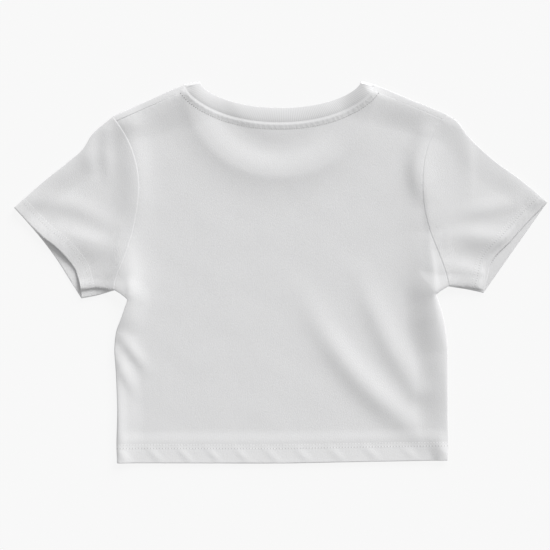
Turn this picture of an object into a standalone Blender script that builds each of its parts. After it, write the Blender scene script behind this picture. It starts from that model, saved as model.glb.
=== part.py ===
"""Crop top in white jersey, laid flat on its front with the back upwards.

Five cut pieces are modelled as walls of cloth: a front, a back, two short set-in sleeves and a ribbed
neckband. The front lies on the surface, and the back lies on the front. Each piece is a grid of
points on its outer face and a second grid one wall further in. Plan sizes are read in millimetres:
x runs across the top from its middle, to the wearer's right, and y runs up from the hem.
"""

from collections import namedtuple

import bpy
import numpy as np
from mathutils import Matrix

MM = 0.001

# Driving sizes of the garment, in millimetres.
NECK_MIDDLE = -1.4
NECK_HALF = 101.5
NECK_TOP = 407.2
BACK_DROP = 38.0
FRONT_DROP = 97.0
BAND_WIDTH = 16.0
BAND_HALF = 86.4
BAND_TOP = 410.8
BAND_BACK_DROP = 27.4
BAND_MIDDLE = 0.9
BODY_HALF = 185.0
HEM_DEPTH = 17.8
CUFF_DEPTH = 15.0

# Cloth, in millimetres.
WALL = 1.0
HEM_WALL = 1.6
CUFF_WALL = 1.3
BAND_WALL = 1.8
SEAM_GAP = 0.34

# How the layers lie, in millimetres above the surface.
LAYERED = 2.4
FOLD_MIDDLE = 3.0
FOLD_REACH = 3.0
LIP_EDGE = 1.6
LIP_ROUND = 1.5
LIP_FULL = 3.0
HEM_RISE = 1.6
HEM_SLOPE = 16.0
HEM_STEP = 1.5
HEM_CLEAR = 10.0
BAND_LOWEST = 2.0
BAND_ROUND = 0.4
SHOULDER_SEAM = 6.5
NECK_CORNER = 0.986

# The powers that give the back neck its rounded, flat-bottomed dip.
DIP_POWER = 2.1
DIP_ROUND = 0.7

# Folded edges, where the cloth turns over from the back to the front, a row for each place:
# x, y, reach of the turn, rise of the roll above the layers, width of its fall, width of the lip
# that lies flat outside it.
LEFT_SIDE = (
    (-177.0, 0.3, 3.5, 3.0, 16.0, 0.0),
    (-177.6, 18.0, 7.0, 3.4, 20.0, 0.0),
    (-176.8, 57.0, 8.0, 4.4, 24.0, 0.0),
    (-178.4, 100.0, 8.0, 4.4, 24.0, 0.0),
    (-179.8, 126.0, 8.0, 4.4, 24.0, 0.0),
    (-178.0, 142.0, 8.0, 4.6, 24.0, 0.0),
    (-171.5, 160.0, 7.0, 4.6, 24.0, 0.0),
    (-165.5, 177.4, 6.0, 4.6, 24.0, 0.0),
)
LEFT_TUCK = (
    (-165.5, 177.4, 5.0, 4.0, 20.0, 0.0),
    (-172.0, 182.6, 3.4, 3.2, 16.0, 0.0),
    (-179.6, 187.4, 3.0, 3.0, 14.0, 0.0),
)
LEFT_UNDERSIDE = (
    (-179.6, 187.4, 3.0, 3.0, 14.0, 0.0),
    (-187.0, 185.2, 3.0, 3.0, 14.0, 4.5),
    (-195.0, 182.8, 3.5, 4.0, 16.0, 7.5),
    (-215.8, 178.4, 4.0, 4.5, 16.0, 9.8),
)
LEFT_SLEEVE_TOP = (
    (-181.2, 375.6, 3.0, 3.6, 26.0, 0.0),
    (-204.7, 354.7, 4.0, 3.4, 26.0, 0.0),
    (-214.2, 339.6, 4.0, 3.2, 24.0, 0.0),
    (-227.5, 328.1, 4.0, 3.0, 24.0, 0.0),
    (-255.9, 305.4, 4.0, 2.8, 22.0, 0.0),
    (-288.4, 276.9, 3.2, 2.8, 20.0, 0.0),
)
LEFT_SHOULDER = (
    (-181.2, 375.6, 3.0, 3.6, 34.0, 0.0),
    (-104.1, 409.95, 3.0, 3.6, 40.0, 0.0),
)
RIGHT_SIDE = (
    (180.6, 3.3, 3.5, 3.0, 16.0, 0.0),
    (181.2, 18.0, 7.0, 3.4, 18.0, 0.0),
    (180.6, 50.0, 8.0, 4.2, 20.0, 0.0),
    (180.4, 93.0, 8.0, 4.6, 24.0, 0.0),
    (180.0, 128.0, 8.0, 4.8, 28.0, 0.0),
    (177.8, 147.0, 8.0, 4.8, 28.0, 0.0),
    (173.5, 165.9, 7.0, 4.8, 28.0, 0.0),
    (167.9, 183.0, 6.0, 4.6, 26.0, 0.0),
)
RIGHT_TUCK = (
    (167.9, 183.0, 5.0, 4.0, 20.0, 0.0),
    (173.6, 187.2, 3.4, 3.2, 16.0, 0.0),
    (181.5, 191.6, 3.0, 3.0, 14.0, 0.0),
)
RIGHT_UNDERSIDE = (
    (181.5, 191.6, 3.0, 3.0, 14.0, 0.0),
    (190.0, 190.2, 3.0, 3.0, 14.0, 1.5),
    (200.0, 188.6, 3.5, 4.0, 16.0, 2.2),
    (219.5, 184.5, 4.0, 4.5, 16.0, 2.6),
)
RIGHT_SLEEVE_TOP = (
    (179.6, 377.5, 3.0, 3.6, 26.0, 0.0),
    (188.8, 371.7, 3.5, 3.4, 26.0, 0.0),
    (202.1, 354.7, 4.0, 3.4, 26.0, 0.0),
    (232.5, 326.3, 4.0, 3.0, 24.0, 0.0),
    (258.9, 307.3, 4.0, 2.8, 22.0, 0.0),
    (288.4, 282.5, 3.2, 2.8, 20.0, 0.0),
)
RIGHT_SHOULDER = (
    (179.6, 377.5, 3.0, 3.6, 34.0, 0.0),
    (101.2, 410.0, 3.0, 3.6, 40.0, 0.0),
)
# Armhole seams, from the underarm up to the tip of the shoulder: x, y.
LEFT_ARMHOLE = (
    (-179.6, 187.4), (-178.6, 197.0), (-174.4, 208.9), (-166.8, 227.8), (-159.2, 254.3),
    (-154.6, 279.0), (-153.0, 305.0), (-156.5, 327.6), (-161.8, 343.3), (-169.1, 357.7),
    (-176.9, 369.5), (-181.2, 375.6),
)
RIGHT_ARMHOLE = (
    (181.5, 191.6), (178.5, 205.0), (171.8, 224.0), (160.4, 254.3), (154.7, 279.0),
    (153.2, 305.0), (156.4, 334.0), (160.9, 348.6), (167.5, 361.0), (174.3, 371.0), (179.6, 377.5),
)

# Open edges: x, y.
HEM = ((-177.0, 0.3), (-90.0, 0.1), (0.0, 0.0), (90.0, 1.7), (180.6, 3.3))
LEFT_CUFF_BACK = (
    (-288.4, 276.9), (-266.5, 253.6), (-254.8, 242.8), (-244.0, 234.8), (-233.3, 224.1),
    (-221.7, 209.3), (-216.6, 196.0), (-215.4, 188.2), (-215.8, 178.4),
)
LEFT_CUFF_FRONT = (
    (-288.4, 276.9), (-254.8, 237.4), (-240.6, 217.9), (-229.8, 200.7), (-215.8, 178.4),
)
RIGHT_CUFF_BACK = (
    (288.4, 282.5), (268.7, 262.7), (248.0, 240.0), (227.3, 216.4), (223.0, 197.6),
    (220.8, 189.8), (219.5, 184.5),
)
RIGHT_CUFF_FRONT = ((288.4, 282.5), (219.5, 184.5))

Side = namedtuple("Side", "seam tuck underside sleeve_top shoulder armhole cuff_back cuff_front")
LEFT = Side(LEFT_SIDE, LEFT_TUCK, LEFT_UNDERSIDE, LEFT_SLEEVE_TOP, LEFT_SHOULDER, LEFT_ARMHOLE,
            LEFT_CUFF_BACK, LEFT_CUFF_FRONT)
RIGHT = Side(RIGHT_SIDE, RIGHT_TUCK, RIGHT_UNDERSIDE, RIGHT_SLEEVE_TOP, RIGHT_SHOULDER,
             RIGHT_ARMHOLE, RIGHT_CUFF_BACK, RIGHT_CUFF_FRONT)

# Folds that stand in the upper layer, a row for each: the x and y of its start, middle and end, its
# rise at those three places, and its half widths on the left and on the right of that direction.
BODY_FOLDS = (
    (24.0, 170.0, 68.0, 111.0, 150.0, 41.0, 0.4, 3.4, 1.6, 19.0, 15.0),
    (97.5, 172.0, 123.5, 128.0, 150.0, 93.0, 0.2, 2.2, 0.8, 13.0, 12.0),
    (-175.7, 138.0, -159.5, 115.0, -141.0, 97.0, 1.4, 1.3, 0.2, 9.0, 6.0),
    (-173.6, 99.0, -163.0, 78.0, -152.0, 60.0, 0.9, 0.9, 0.1, 8.0, 6.0),
    (-168.0, 216.0, -163.5, 198.0, -161.0, 182.0, 0.6, 2.6, 1.6, 20.0, 4.5),
    (167.5, 218.0, 164.5, 202.0, 163.5, 187.0, 0.6, 2.4, 1.6, 4.5, 20.0),
)
ARMHOLE_FOLDS = (
    (-162.0, 344.0, -153.0, 303.0, -161.0, 248.0, 0.6, 2.4, 1.6, 15.0, 13.0),
    (163.0, 350.0, 153.2, 303.0, 163.0, 248.0, 0.6, 2.4, 1.6, 20.0, 17.0),
)
SLEEVE_FOLDS = (
    (-166.0, 300.0, -212.0, 262.0, -258.0, 258.0, 0.6, 2.6, 2.6, 42.0, 42.0),
    (-193.0, 363.0, -194.0, 339.0, -199.0, 306.0, 0.2, 1.3, 0.2, 8.0, 8.0),
    (-262.0, 294.0, -235.0, 286.0, -190.0, 268.0, 1.2, 1.5, 0.3, 11.0, 9.0),
    (-262.0, 252.0, -213.0, 245.0, -172.0, 238.0, 1.8, 2.8, 0.8, 12.0, 12.0),
    (-219.0, 199.0, -197.0, 201.0, -179.0, 204.0, 1.6, 1.6, 0.6, 13.0, 6.0),
    (166.0, 300.0, 212.0, 266.0, 258.0, 264.0, 0.6, 2.6, 2.4, 42.0, 42.0),
    (200.0, 354.0, 202.0, 336.0, 209.0, 312.0, 0.2, 1.1, 0.2, 7.0, 7.0),
    (188.0, 274.0, 226.0, 279.0, 262.0, 288.0, 0.2, 1.3, 1.0, 10.0, 10.0),
    (176.0, 244.0, 205.0, 247.0, 246.0, 247.0, 0.8, 2.6, 1.8, 12.0, 11.0),
    (180.0, 212.0, 199.0, 202.5, 219.0, 196.0, 1.2, 2.0, 1.4, 12.0, 7.0),
)
FOLDS = BODY_FOLDS + ARMHOLE_FOLDS + SLEEVE_FOLDS

# What the hidden front neckband does to the back that lies over it: distance outwards from the
# front neck seam, and the change of height there.
NECK_PRINT = (
    (-80.0, -1.1), (-60.0, -1.1), (-38.0, -0.9), (-17.0, 0.95), (-7.0, 1.4), (1.0, 1.4),
    (9.0, 0.6), (20.0, 0.0), (40.0, 0.0),
)
PRINT_CLEAR = 34.0
NECK_RIDGE = 0.8
NECK_RIDGE_WIDTH = 6.0

# Where the points of the nets lie. Pieces that share a seam share its stations too, so that their
# straight facets keep the same gap all along it. Steps are distances in from a folded edge.
ROLL_STEPS = (0.0, 0.5, 2.0, 4.5, 8.0, 14.0, 22.0, 33.0)
CURL_STEPS = (0.0, 0.4, 1.4, 3.2, 12.0)
UNDERARM_STEPS = (0.0, 0.5, 1.6, 3.2, 8.0)
ARMHOLE_STATIONS = 10
TURN_STEPS = 3
BACK_SIDE_ROWS = 10
FRONT_SIDE_ROWS = 4
SHOULDER_COLUMNS = 3
SLEEVE_ROWS = 11
BACK_NECK_STATIONS = 24
FRONT_NECK_STATIONS = 26
BAND_COLUMNS = 5
SIDE_PULL = 0.185
EVEN_ROWS = 0.6

JERSEY = (0.83, 0.83, 0.835, 1.0)
RIB = (0.81, 0.81, 0.815, 1.0)
UP = np.array([0.0, 0.0, 1.0])
TINY = 1e-6


def smooth(t):
    """0 below 0, 1 above 1, and an even S between them."""
    t = np.clip(t, 0.0, 1.0)
    return t * t * (3.0 - 2.0 * t)


def quarter(t):
    """Height of a quarter circle that starts upright at 0 and is level from 1 on."""
    t = np.clip(t, 0.0, 1.0)
    return np.sqrt(np.maximum(1.0 - (1.0 - t) ** 2, 0.0))


def read(places, rows, where):
    """Columns of a table at `where`, on a smooth curve through its rows, which stand at `places`."""
    slopes = np.gradient(rows, places, axis=0)
    where = np.clip(where, places[0], places[-1])
    i = np.clip(np.searchsorted(places, where, side="right") - 1, 0, len(places) - 2)
    width = (places[i + 1] - places[i])[..., None]
    t = (where - places[i])[..., None] / width
    return (
        (1 + 2 * t) * (1 - t) ** 2 * rows[i]
        + t * (1 - t) ** 2 * width * slopes[i]
        + t * t * (3 - 2 * t) * rows[i + 1]
        + t * t * (t - 1) * width * slopes[i + 1]
    )


def shares(line):
    """How far along a line each of its points is, from 0 to 1."""
    places = np.concatenate([[0.0], np.cumsum(np.linalg.norm(np.diff(line, axis=0), axis=1))])
    return places / places[-1]


def length(line):
    return np.linalg.norm(np.diff(line, axis=0), axis=1).sum()


def along(rows, where):
    """Every column of a table of places, read at 0 to 1 of the way along a smooth curve."""
    rows = np.array(rows, float)
    return read(shares(rows[:, :2]), rows, np.asarray(where, float))


def dense(rows):
    """The x and y of a table of places as a line of many points."""
    return along(rows, np.linspace(0.0, 1.0, 200))[:, :2]


def even(line, where):
    """A line of many points read at 0 to 1 of its length."""
    places = shares(line)
    return np.stack([np.interp(where, places, line[:, k]) for k in (0, 1)], axis=-1)


def edge_segments():
    """All folded edges as short straight pieces, with the columns at both ends of each."""
    tables = [rows for side in (LEFT, RIGHT) for rows in side[:5]]
    lines = [along(rows, np.linspace(0.0, 1.0, 48)) for rows in tables]
    return np.concatenate([a[:-1] for a in lines]), np.concatenate([a[1:] for a in lines])


SEGMENT_START, SEGMENT_END = edge_segments()


def nearest_edge(plan):
    """Distance from each plan point to the nearest folded edge, and that edge's columns there."""
    points = plan.reshape(-1, 2)
    a = SEGMENT_START[:, :2]
    ab = SEGMENT_END[:, :2] - a
    ap = points[:, None, :] - a[None]
    t = np.clip((ap * ab).sum(-1) / (ab * ab).sum(-1), 0.0, 1.0)
    gap = np.linalg.norm(ap - t[..., None] * ab, axis=-1)
    best = gap.argmin(axis=1)
    here = np.arange(len(points))
    mix = t[here, best][:, None]
    columns = SEGMENT_START[best, 2:] * (1 - mix) + SEGMENT_END[best, 2:] * mix
    shape = plan.shape[:-1]
    return (gap[here, best].reshape(shape), *(c.reshape(shape) for c in columns.T))


def fold_rise(plan):
    """Heights of the standing folds: a bell across each fold's line, as wide as its columns say."""
    total = np.zeros(plan.shape[:-1])
    for x0, y0, x1, y1, x2, y2, rise0, rise1, rise2, left, right in FOLDS:
        rows = ((x0, y0, rise0), (x1, y1, rise1), (x2, y2, rise2))
        line = along(rows, np.linspace(0.0, 1.0, 24))
        a, ab = line[:-1], np.diff(line, axis=0)
        ap = plan[..., None, :] - a[:, :2]
        t = np.clip((ap * ab[:, :2]).sum(-1) / (ab[:, :2] ** 2).sum(-1), 0.0, 1.0)
        off = ap - t[..., None] * ab[:, :2]
        gap = np.linalg.norm(off, axis=-1)
        best = gap.argmin(axis=-1)[..., None]
        side = ab[:, 0] * off[..., 1] - ab[:, 1] * off[..., 0]
        width = np.where(np.take_along_axis(side, best, -1) > 0, left, right)[..., 0]
        rise = np.take_along_axis(a[:, 2] + t * ab[:, 2], best, -1)[..., 0]
        gap = np.take_along_axis(gap, best, -1)[..., 0]
        total += rise * np.exp(-((gap / width) ** 2))
    return total


def dip(u):
    """Depth of the back neck at u, -1 to 1 across it, as a share of its drop."""
    return (1.0 - np.minimum(np.abs(u), 1.0) ** DIP_POWER) ** DIP_ROUND


def back_neck(u):
    """The back neck seam, from u = -1 at the left to 1 at the right."""
    return np.stack([NECK_MIDDLE + NECK_HALF * u, NECK_TOP - BACK_DROP * dip(u)], axis=-1)


def front_neck(angle):
    """The front neck seam: half an ellipse, 0 at the left and pi at the right."""
    across = NECK_MIDDLE - NECK_HALF * np.cos(angle)
    return np.stack([across, NECK_TOP - FRONT_DROP * np.sin(angle)], axis=-1)


def neck_rise(plan, distance):
    """The print of the front neckband through the back, and the ridge along the back neck seam."""
    x, y = plan[..., 0], plan[..., 1]
    across = (x - NECK_MIDDLE) / NECK_HALF
    down = np.maximum(NECK_TOP - y, 0.0) / FRONT_DROP
    outwards = (np.hypot(across, down) - 1.0) * 0.5 * (NECK_HALF + FRONT_DROP)
    rows = np.array(NECK_PRINT)
    printed = read(rows[:, 0], rows[:, 1:], outwards)[..., 0]
    below = np.abs(y - (NECK_TOP - BACK_DROP * dip(across)))
    ridge = NECK_RIDGE * np.exp(-((below / NECK_RIDGE_WIDTH) ** 2)) * (np.abs(across) < 1.0)
    return (printed + ridge) * smooth(distance / PRINT_CLEAR)


def above_hem(plan):
    """Height up the body from the lower edge of its hem."""
    rows = np.array(HEM)
    return plan[..., 1] - np.interp(plan[..., 0], rows[:, 0], rows[:, 1])


def hem_rise(plan, distance):
    """How far the thicker hems lift the back over them, less where it turns at the sides."""
    body = np.abs(plan[..., 0]) < BODY_HALF
    past = (above_hem(plan) - HEM_DEPTH - HEM_STEP) / HEM_SLOPE
    return HEM_RISE * (1.0 - smooth(past)) * smooth(distance / HEM_CLEAR) * body


def edge_height(lip):
    """Height of a folded edge's outermost line, lower where a flat lip lies outside the roll."""
    return FOLD_MIDDLE - (FOLD_MIDDLE - LIP_EDGE) * smooth(lip / LIP_FULL)


def upper_height(plan):
    """Height of the outer face of the layer on top, which is mostly the back."""
    distance, reach, rise, fall, lip = nearest_edge(plan)
    roll = rise * (1.0 - smooth((distance - lip - reach) / fall))
    inner = LAYERED + roll + fold_rise(plan) + neck_rise(plan, distance) + hem_rise(plan, distance)
    edge = edge_height(lip)
    lip_top = edge + (FOLD_MIDDLE - edge) * quarter(distance / LIP_ROUND)
    return lip_top + (inner - FOLD_MIDDLE) * quarter((distance - lip) / reach)


def lower_height(plan):
    """Height of the outer face of the layer below: flat on the surface, turned up at its edges."""
    distance, _reach, _rise, _fall, lip = nearest_edge(plan)
    return edge_height(lip) * (1.0 - quarter(distance / FOLD_REACH))


def panel_wall(plan):
    """Thickness of a panel: its hem is turned up and double, but for the last bit at the sides."""
    distance = nearest_edge(plan)[0]
    hem = (1.0 - smooth((above_hem(plan) - HEM_DEPTH) / HEM_STEP)) * smooth(distance / HEM_CLEAR)
    return WALL + (HEM_WALL - WALL) * hem


def shoulder_frame(shoulder):
    """A shoulder's fold line: its tip, its neck end, and the direction in to the body."""
    tip, neck = np.array(shoulder[0][:2]), np.array(shoulder[1][:2])
    way = (neck - tip) / np.linalg.norm(neck - tip)
    inwards = np.array([abs(way[1]) * np.sign(way[0]), -abs(way[0])])
    return tip, neck, inwards


def turn_inside(beyond):
    """How far inside a fold line the cloth lies that is `beyond` it on the flat cut.

    Within one reach of the line it turns on a half circle, and past that it lies flat again.
    """
    turn = np.clip(np.abs(beyond) / FOLD_REACH, 0.0, 1.0) * np.pi / 2
    return np.maximum(np.abs(beyond), FOLD_REACH) - FOLD_REACH * np.cos(turn)


def fold_over(flat):
    """Folds a flat-cut front over its two shoulders.

    Returns its new plan points, which of them lie on top, and the outward normals of the fold.
    """
    plan = flat.copy()
    above = np.zeros(flat.shape[:-1], bool)
    normals = np.zeros((*flat.shape[:-1], 3)) - UP
    for side in (LEFT, RIGHT):
        tip, _neck, inwards = shoulder_frame(side.shoulder)
        beyond = -((flat - tip) * inwards).sum(-1)
        mine = (beyond > -FOLD_REACH) & (flat[..., 0] * tip[0] > 0)
        moved = flat + (beyond + turn_inside(beyond))[..., None] * inwards
        plan = np.where(mine[..., None], moved, plan)
        above |= mine & (beyond > 0)
        normals = np.where(mine[..., None], turn_normals(beyond, inwards), normals)
    return plan, above, normals


def turn_normals(beyond, inwards):
    """Outward normals of the cloth as it turns over a fold line, by its distance beyond it."""
    turn = np.clip(beyond / FOLD_REACH, -1.0, 1.0)[..., None] * np.pi / 2
    return np.concatenate([-np.cos(turn) * inwards, np.sin(turn)], axis=-1)


def turn_steps():
    """Distances beyond a fold line of the points that round it, from one reach to none."""
    return FOLD_REACH * np.linspace(1.0, 0.0, TURN_STEPS + 1)


def armhole_stations(side):
    """Shared points of the armhole seam, from the underarm to the tip of the shoulder."""
    line = dense(side.armhole)
    tip, _neck, inwards = shoulder_frame(side.shoulder)
    run = shares(line) * length(line)
    inside = ((line - tip) * inwards).sum(-1)
    near_tip = np.concatenate([[SHOULDER_SEAM], turn_inside(turn_steps())])
    late = np.interp(-near_tip, -inside[-60:], run[-60:])
    middle = np.linspace(UNDERARM_STEPS[-1], late[0], ARMHOLE_STATIONS + 2)[1:-1]
    stations = np.concatenate([UNDERARM_STEPS, middle, late])
    return even(line, stations / run[-1]), stations / run[-1]


def side_rows(side, count):
    """Points up a side seam and its tuck, short of the underarm."""
    line = dense(side.seam)
    hem = HEM_DEPTH / length(line)
    step = HEM_STEP / length(line)
    low = np.concatenate([[0.0, hem, hem + step], np.linspace(hem + step, 1.0, count + 1)[1:]])
    return np.concatenate([even(line, low), even(dense(side.tuck), np.array([0.5]))])


def patch(start, end, left, right, s, t, start_corners, end_corners):
    """Coons patch: a net of plan points that meets four border lines."""
    s, t = s[..., None], t[..., None]
    ruled = (1 - t) * start + t * end + (1 - s) * left + s * right
    low = (1 - s) * start_corners[0] + s * start_corners[1]
    high = (1 - s) * end_corners[0] + s * end_corners[1]
    return ruled - (1 - t) * low - t * high


def panel_net(left, right, top):
    """The plan net of a panel: straight columns from the hem to its top border, pulled sideways
    near the sides to meet the side borders, in rows that start out parallel to the hem."""
    s = shares(top)[None]
    bottom = even(dense(HEM), s[0])
    up = [(line[:, 1] - line[0, 1]) / (line[-1, 1] - line[0, 1]) for line in (left, right)]
    tall = [line[-1, 1] - line[0, 1] for line in (left, right)]
    t = (1 - s) * up[0][:, None] + s * up[1][:, None]
    ratio = ((1 - s) * tall[0] + s * tall[1]) / (top[:, 1] - bottom[:, 1])
    t = t * (1.0 + (ratio - 1.0) * (1.0 - smooth(t / EVEN_ROWS)))
    net = (1 - t)[..., None] * bottom + t[..., None] * top
    for line, rise, from_side in ((left, up[0], s), (right, up[1], 1 - s)):
        straight = (1 - rise)[:, None] * line[0] + rise[:, None] * line[-1]
        pull = (1.0 - smooth(from_side / SIDE_PULL))[..., None]
        net += pull * (line - straight)[:, None]
    return net


def face_normals(grid, ring=False):
    """Unit normals of a grid of points; ring says that its rows are closed loops."""
    if ring:
        across = np.roll(grid, -1, axis=1) - np.roll(grid, 1, axis=1)
    else:
        across = np.gradient(grid, axis=1)
    normal = np.cross(across, np.gradient(grid, axis=0))
    return normal / np.linalg.norm(normal, axis=-1, keepdims=True)


def open_seam(grid, normals, edge, ways):
    """Draws an edge half a seam gap back into its own piece and squares its cut face off."""
    grid[edge] += ways * SEAM_GAP / 2
    ways = ways / np.linalg.norm(ways, axis=-1, keepdims=True)
    square = normals[edge] - (normals[edge] * ways).sum(-1, keepdims=True) * ways
    normals[edge] = square / np.linalg.norm(square, axis=-1, keepdims=True)


def sideways(line, hand):
    """Level ways off a plan line, to the right of its run for hand 1 and to the left for -1.

    They are longer at a corner, so that steps along them make a line parallel to this one.
    """
    run = np.diff(line, axis=0)
    run /= np.linalg.norm(run, axis=1, keepdims=True)
    out = np.stack([run[:, 1], -run[:, 0], np.zeros(len(run))], axis=1) * hand
    before, after = np.concatenate([out[:1], out]), np.concatenate([out, out[-1:]])
    return (before + after) / (1.0 + (before * after).sum(-1, keepdims=True))


def turned_over(directions, line):
    """Directions along a flat cut's border as they point once its shoulders are folded over."""
    turned = directions.copy()
    for side in (LEFT, RIGHT):
        tip, _neck, inwards = shoulder_frame(side.shoulder)
        beyond = -((line - tip) * inwards).sum(-1)
        mine = (beyond > TINY) & (line[:, 0] * tip[0] > 0)
        part = (directions[:, :2] * inwards).sum(-1, keepdims=True)
        turned[mine, :2] = (directions[:, :2] - 2 * part * inwards)[mine]
    return turned


def open_borders(grid, normals, left, right, under, seam_way):
    """Opens a panel's side seams along `seam_way`, and its armhole seams level with the body."""
    for column, border, hand in ((0, left, 1), (-1, right, -1)):
        open_seam(grid, normals, (slice(0, under + 1), column), seam_way)
        armhole = border[under:]
        ways = turned_over(sideways(armhole, hand), armhole)
        open_seam(grid, normals, (slice(under, None), column), ways)


def material(name, colour, roughness):
    made = bpy.data.materials.new(name)
    made.use_nodes = True
    shader = made.node_tree.nodes["Principled BSDF"]
    shader.inputs["Base Color"].default_value = colour
    shader.inputs["Roughness"].default_value = roughness
    shader.inputs["Metallic"].default_value = 0.0
    return made


def wall(name, outer, inner, colour, rows_closed=False, columns_closed=False):
    """One closed wall of cloth between an outer and an inner grid of points, as an object."""
    rows, columns = outer.shape[:2]
    index = np.arange(rows * columns).reshape(rows, columns)
    if rows_closed:
        index = np.concatenate([index, index[:1]], axis=0)
    if columns_closed:
        index = np.concatenate([index, index[:, :1]], axis=1)
    under = index + rows * columns
    quads = [
        np.stack([index[:-1, :-1], index[:-1, 1:], index[1:, 1:], index[1:, :-1]], axis=-1),
        np.stack([under[:-1, :-1], under[1:, :-1], under[1:, 1:], under[:-1, 1:]], axis=-1),
    ]
    if not rows_closed:
        quads.append(np.stack([index[0, 1:], index[0, :-1], under[0, :-1], under[0, 1:]], axis=-1))
        quads.append(np.stack([index[-1, :-1], index[-1, 1:], under[-1, 1:], under[-1, :-1]], axis=-1))
    if not columns_closed:
        quads.append(np.stack([index[:-1, 0], index[1:, 0], under[1:, 0], under[:-1, 0]], axis=-1))
        quads.append(np.stack([index[1:, -1], index[:-1, -1], under[:-1, -1], under[1:, -1]], axis=-1))
    faces = np.concatenate([q.reshape(-1, 4) for q in quads])
    points = np.concatenate([outer.reshape(-1, 3), inner.reshape(-1, 3)]) * MM
    mesh = bpy.data.meshes.new(name)
    mesh.from_pydata(points.tolist(), [], faces.tolist())
    mesh.shade_smooth()
    mesh.set_sharp_from_angle(angle=np.radians(50.0))
    mesh.materials.append(material(name, colour, 0.9))
    made = bpy.data.objects.new(name, mesh)
    bpy.context.scene.collection.objects.link(made)
    return made


def lift(plan, height):
    return np.concatenate([plan, height[..., None]], axis=-1)


def shoulder_columns(steps, run):
    """Places along a shoulder seam: close together at the armhole, then even up to the neck."""
    near = np.array(steps) / run
    return np.concatenate([near, np.linspace(near[-1], 1.0, SHOULDER_COLUMNS + 2)[1:]])


def neck_stations():
    """Shared places across the back neck, between the ends of the shoulder seams."""
    corner = np.arcsin(NECK_CORNER)
    return np.sin(np.linspace(-corner, corner, BACK_NECK_STATIONS))


def front_angles():
    """Shared places round the front neck."""
    return np.linspace(0.0, np.pi, FRONT_NECK_STATIONS)


def build_back():
    """The back: laid on the front, rolled at its folded edges, with drag folds over one hip."""
    borders, seams = [], []
    for side in (LEFT, RIGHT):
        tip, neck, inwards = shoulder_frame(side.shoulder)
        armhole = armhole_stations(side)[0][: -TURN_STEPS - 1]
        borders.append(np.concatenate([side_rows(side, BACK_SIDE_ROWS), armhole]))
        ends = np.stack([armhole[-1], neck + inwards * SHOULDER_SEAM])
        seams.append(even(ends, shoulder_columns(ROLL_STEPS, length(ends))))
    left, right = borders
    under = len(side_rows(LEFT, BACK_SIDE_ROWS))
    neck = back_neck(neck_stations()[1:-1])
    top = np.concatenate([seams[0], neck, seams[1][::-1]])
    plan = panel_net(left, right, top)
    grid = lift(plan, upper_height(plan))
    normals = face_normals(grid)
    open_borders(grid, normals, left, right, under, UP)
    open_seam(grid, normals, (-1, slice(None)), sideways(top, 1))
    inner = grid - normals * panel_wall(plan)[..., None]
    return wall("back_panel", grid, inner, JERSEY)


def build_front():
    """The front: flat on the surface, curled up to its side seams and folded over its shoulders."""
    steps = turn_steps()
    beyond = np.concatenate([-steps[:-1], steps[::-1], [SHOULDER_SEAM]])
    borders, seams, turns = [], [], []
    for side in (LEFT, RIGHT):
        tip, neck, inwards = shoulder_frame(side.shoulder)
        stations = armhole_stations(side)[0]
        armhole, rounding = stations[: -TURN_STEPS - 2], stations[-TURN_STEPS - 2:]
        lower, upper = rounding[:-1], rounding[::-1]
        low_beyond = -np.concatenate([[SHOULDER_SEAM], steps[:-1]])
        high_beyond = np.concatenate([steps[::-1], [SHOULDER_SEAM]])
        folded = np.concatenate([lower, upper])
        reach = np.concatenate([low_beyond, high_beyond])
        flat = folded - (reach + turn_inside(reach))[:, None] * inwards
        borders.append(np.concatenate([side_rows(side, FRONT_SIDE_ROWS), armhole, flat]))
        ends = np.stack([flat[-1], neck - inwards * SHOULDER_SEAM])
        seams.append(even(ends, shoulder_columns(CURL_STEPS, length(ends))))
        turns.append(neck - inwards * beyond[::-1][1:-1, None])
    left, right = borders
    under = len(side_rows(LEFT, FRONT_SIDE_ROWS))
    neck = front_neck(front_angles())
    top = np.concatenate([seams[0], turns[0], neck, turns[1][::-1], seams[1][::-1]])
    flat = panel_net(left, right, top)
    plan, above, normals = fold_over(flat)
    grid = lift(plan, np.where(above, upper_height(plan), lower_height(plan)))
    curled = (nearest_edge(plan)[0] < FOLD_REACH) & (normals[..., 2] == -1.0)
    normals = np.where(curled[..., None], -face_normals(grid), normals)
    open_borders(grid, normals, left, right, under, -UP)
    open_seam(grid, normals, (-1, slice(None)), turned_over(sideways(top, 1), top))
    inner = grid - normals * panel_wall(plan)[..., None]
    return wall("front_panel", grid[:, ::-1], inner[:, ::-1], JERSEY)


def sleeve_places(side, rows):
    """Places round a sleeve for each of its rows, from 0 at the top fold to 1 at the underside."""
    shared = 1.0 - armhole_stations(side)[1][::-1]
    seam, cuff = length(dense(side.armhole)), length(dense(side.cuff_front))
    width = (seam + (cuff - seam) * rows)[:, None]
    lip = along(side.underside, rows)[:, 5:6]
    plain = np.array(UNDERARM_STEPS[::-1])[None] + 0.0 * lip
    lipped = np.concatenate([lip + 4.5, lip + 1.2, lip, lip * 0.5, lip * 0.0], axis=1)
    low = 1.0 - (plain + (lipped - plain) * smooth(lip / LIP_FULL)) / width
    top = np.array([0.0, 0.4, 1.5, 3.5, 9.0])[None] / width
    between = np.linspace(0.0, 1.0, ARMHOLE_STATIONS + 2)[None, 1:-1]
    middle = top[:, -1:] + (low[:, :1] - top[:, -1:]) * between
    places = np.concatenate([top, middle, low], axis=1)
    mix = smooth(rows / 0.25)[:, None]
    return shared[None] * (1.0 - mix) + places * mix


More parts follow.
